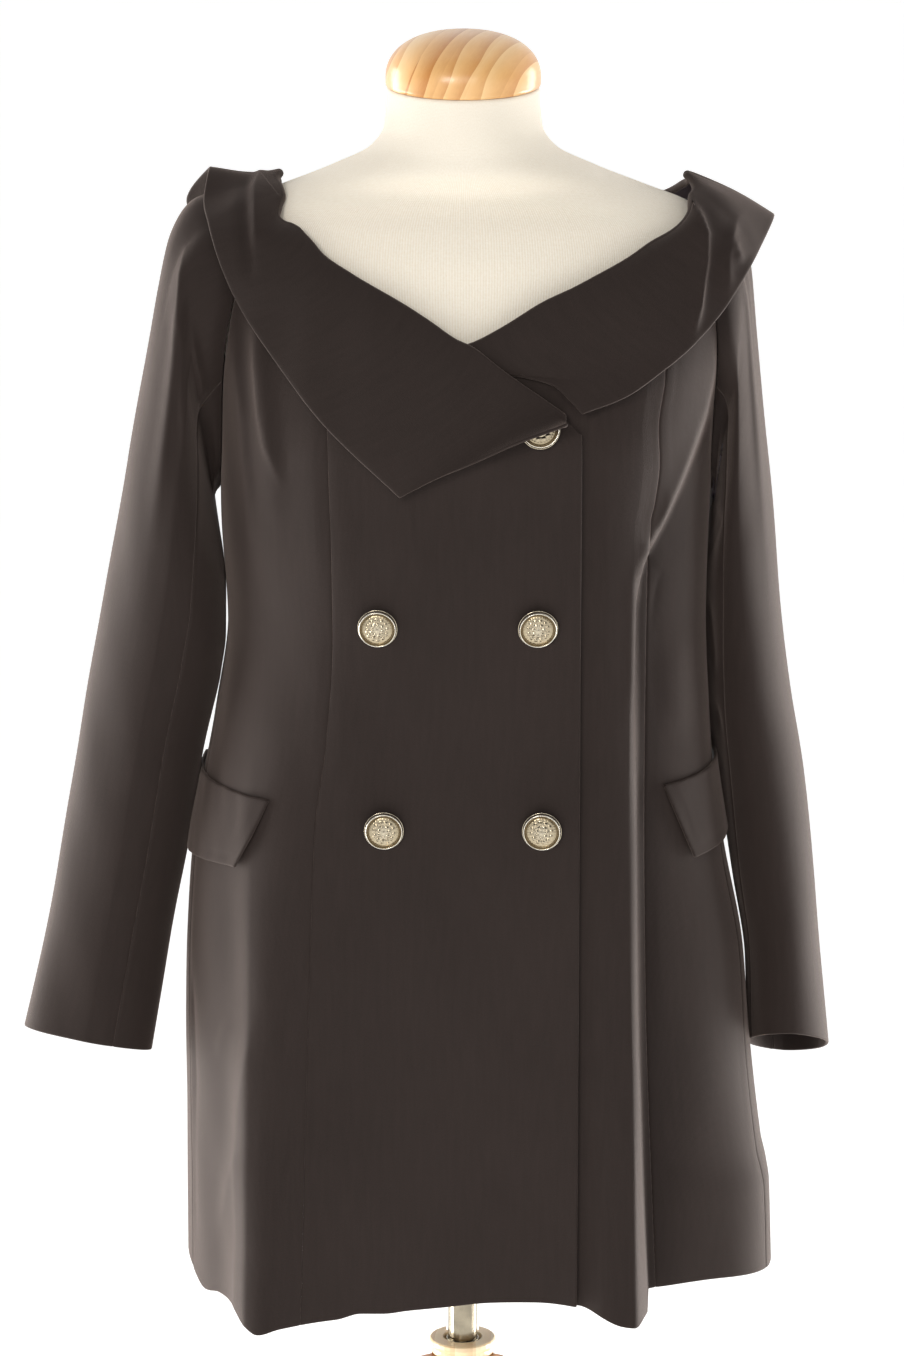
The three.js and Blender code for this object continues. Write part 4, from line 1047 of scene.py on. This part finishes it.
def button(x, z, tilt, turn):
    """Points, faces and UVs of a button on the body, lowest ring of its shank first."""
    under = np.array([(4.0, BUTTON_GAP), (4.0, 1.5), (9.0, 1.9), (13.4, 2.3), (13.9, 2.6)])
    radii = np.r_[np.linspace(0.25, 11.2, 46), np.linspace(11.4, BUTTON_RADIUS, 22)]
    r, a = np.meshgrid(np.r_[under[:, 0], radii[::-1]], turns(120), indexing="ij")
    height = button_height(r, a)
    height[: len(under)] = under[:, 1:]
    rings = np.stack([r * np.cos(a), r * np.sin(a), height], -1)
    points, faces = lidded(rings, [0, 0, BUTTON_GAP], [0, 0, button_height(0.0, 0.0)])
    angle = angle_of(x, z)
    out = body_normal(angle, z)
    seat = body_point(angle, z) + out * BUTTON_GAP
    forward, sideways = np.tan(np.radians(tilt))
    out = unit(out + np.array([sideways, 0, forward]))
    right = unit(np.cross(out, [0, 0, 1]))
    spin = math.radians(turn)
    across = right * math.cos(spin) + np.cross(out, right) * math.sin(spin)
    placed = seat + points[:, :1] * across + points[:, 1:2] * np.cross(out, across) + points[:, 2:] * out
    return placed, faces, points[:, :2]


for name, place in BUTTONS.items():
    keep(name, add_mesh(name + "_metal", *button(*place), [plated]))


# ---- the form and its stand ----
def form_body():
    low, high = FORM["z"][[0, -1]]
    heights = np.r_[low, 830.6, 832, 835, np.linspace(842, 1370, 60), np.linspace(1373, high, 50)]
    z, turn = np.meshgrid(heights, turns(128) - np.pi, indexing="ij")
    power = 2 / column(FORM, "square", z)
    deep = np.where(np.cos(turn) < 0, column(FORM, "back", z), column(FORM, "front", z))
    draw = 1 - 0.05 * (1 - smooth((z - low) / 5))  # the cover is drawn in at the lower edge
    x = column(FORM, "side", z) * rounded(np.sin(turn), power) * draw
    y = -deep * rounded(np.cos(turn), power) * draw
    lean = math.tan(math.radians(CAP["lean"])) * smooth((z - NECK_ROOT) / (CAP["bottom"] - NECK_ROOT))
    points, faces = lidded(np.stack([x, y, z + y * lean], -1), [0, 0, low], [0, 0, high])
    uv = np.vstack([np.stack([turn * 130, z], -1).reshape(-1, 2), np.zeros((2, 2))])
    return points, faces, uv


def cap_body():
    """The cap's rounded dome over a short straight side, leaning with the neck."""
    radius, height, straight = CAP["radius"], CAP["height"], CAP["straight"]
    profile = [(radius - 12, 0), (radius - 2.4, 0), (radius - 1.2, 0.35), (radius - 0.35, 1.2)]
    profile += [(radius, h) for h in (2.4, 3.5, 5, 6.2)]
    for a in np.linspace(0, math.pi / 2, 40)[:-1]:
        profile.append((radius * math.cos(a) ** 0.8, straight + (height - straight) * math.sin(a) ** 0.95))
    profile = np.array(profile)
    r, turn = np.meshgrid(profile[:, 0], turns(128), indexing="ij")
    z = np.broadcast_to(profile[:, 1:], r.shape)
    points, faces = lidded(np.stack([r * np.cos(turn), r * np.sin(turn), z], -1), [0, 0, 0], [0, 0, height])
    down = np.broadcast_to(run(profile[None], 1).T, r.shape)
    uv = np.vstack([np.stack([turn * radius, down], -1).reshape(-1, 2), np.zeros((2, 2))])
    x, y, z = points.T
    a = math.radians(CAP["lean"])
    y, z = y * math.cos(a) - z * math.sin(a), y * math.sin(a) + z * math.cos(a)
    return np.stack([x, y, z + CAP["bottom"]], -1), faces, uv


form = keep("form_torso", add_mesh("form_cover", *form_body(), [cover]))
keep("neck_cap", add_mesh("cap_wood", *cap_body(), [cap_pine]))

STAND = [
    (chrome, ["post", "ferrule", "leg_bail_1", "leg_bail_2", "leg_bail_3"]),
    (hub_pine, ["hub"]),
    (leg_pine, ["leg_1", "leg_2", "leg_3"]),
]
for material, nodes in STAND:
    for name in nodes:
        slots = bpy.data.objects[name].data.materials
        slots.clear()
        slots.append(material)


# ---- stage, lights and camera ----
FLOOR_GLOW = 0.45
FLOOR_REACH = 40000.0
WORLD_FRONT = 0.2
WORLD_BACK = 0.9


def stage_floor():
    n = new_material("floor_paper")
    speck = n.noise("Object", 3.0, 4.0)
    paper = n.set(
        Base_Color=n.ramp(speck, (0.3, (244, 244, 243)), (0.7, (249, 249, 248))),
        Roughness=n.scaled(speck, 0.1, 0.75),
        Specular_IOR_Level=0.1,
        Emission_Color=(1.0, 1.0, 1.0, 1.0),
        Emission_Strength=FLOOR_GLOW,
    )
    corners = np.array([(-1, -1), (1, -1), (1, 1), (-1, 1)]) * FLOOR_REACH
    points = np.hstack([corners, np.full((4, 1), -0.5)])
    add_mesh("floor", points, [np.array([[0, 1, 2, 3]])], corners, [paper])


def soft_light(name, place, aim, size, watts, colour=(1, 0.98, 0.95)):
    """A rectangular light, its place and its aim in metres from the post's foot."""
    data = bpy.data.lights.new(name, "AREA")
    data.shape = "RECTANGLE"
    data.size, data.size_y = size
    data.energy = watts
    data.color = colour
    obj = bpy.data.objects.new(name, data)
    scene.collection.objects.link(obj)
    obj.location = Vector(AXIS + place)
    obj.rotation_euler = (Vector(aim) - Vector(place)).to_track_quat("-Z", "Y").to_euler()
    obj.visible_camera = False


def studio_world():
    """Plain white surroundings: bright behind, beside and along the horizon, dimmer in front above."""
    n = Nodes(bpy.data.worlds.new("studio"), "Background")
    split = n.add("SeparateXYZ", {0: n.add("TexCoord").outputs["Generated"]})
    shares = []
    for axis, low, high in (("Y", -0.35, 0.2), ("Z", 0.3, 0.08)):
        limits = {"From Min": low, "From Max": high, "To Min": WORLD_FRONT, "To Max": WORLD_BACK}
        share = n.add("MapRange", {"Value": split.outputs[axis], **limits}, interpolation_type="SMOOTHSTEP")
        shares.append(share.outputs[0])
    return n.set(Color=(1.0, 1.0, 1.0, 1.0), Strength=n.math("MAXIMUM", *shares))


stage_floor()
scene.world = studio_world()
MIDDLE = (0, 0, 1.05)
for hand, behind in ((-1, 0.15), (1, 0.4)):
    soft_light(f"side_{hand}", (hand * 1.3, behind, 0.55), (0, 0, 0.85), (0.5, 1.2), 27)
    soft_light(f"rear_{hand}", (hand * 1.4, 0.8, 1.1), MIDDLE, (0.6, 1.6), 18)
soft_light("fill", (0, -3.2, 2.6), MIDDLE, (2.4, 1.2), 20, (1, 0.98, 0.94))
soft_light("key", (-1.225, -2.93, 2.5), MIDDLE, (0.9, 0.9), 30, (1, 0.97, 0.92))

EYE = np.array([-8.0, -3316.8, 1816.9])
PITCH = 12.7  # degrees down
LENS = 123.637  # millimetres, with a sensor 36 mm high
camera = bpy.data.cameras.new("camera")
camera.lens = LENS
camera.sensor_width = 36
camera.clip_end = 200
eye = bpy.data.objects.new("camera", camera)
eye.location = EYE * MM + AXIS
eye.rotation_euler = (math.radians(90 - PITCH), 0, 0)
scene.collection.objects.link(eye)
scene.camera = eye
scene.view_settings.view_transform = "Standard"
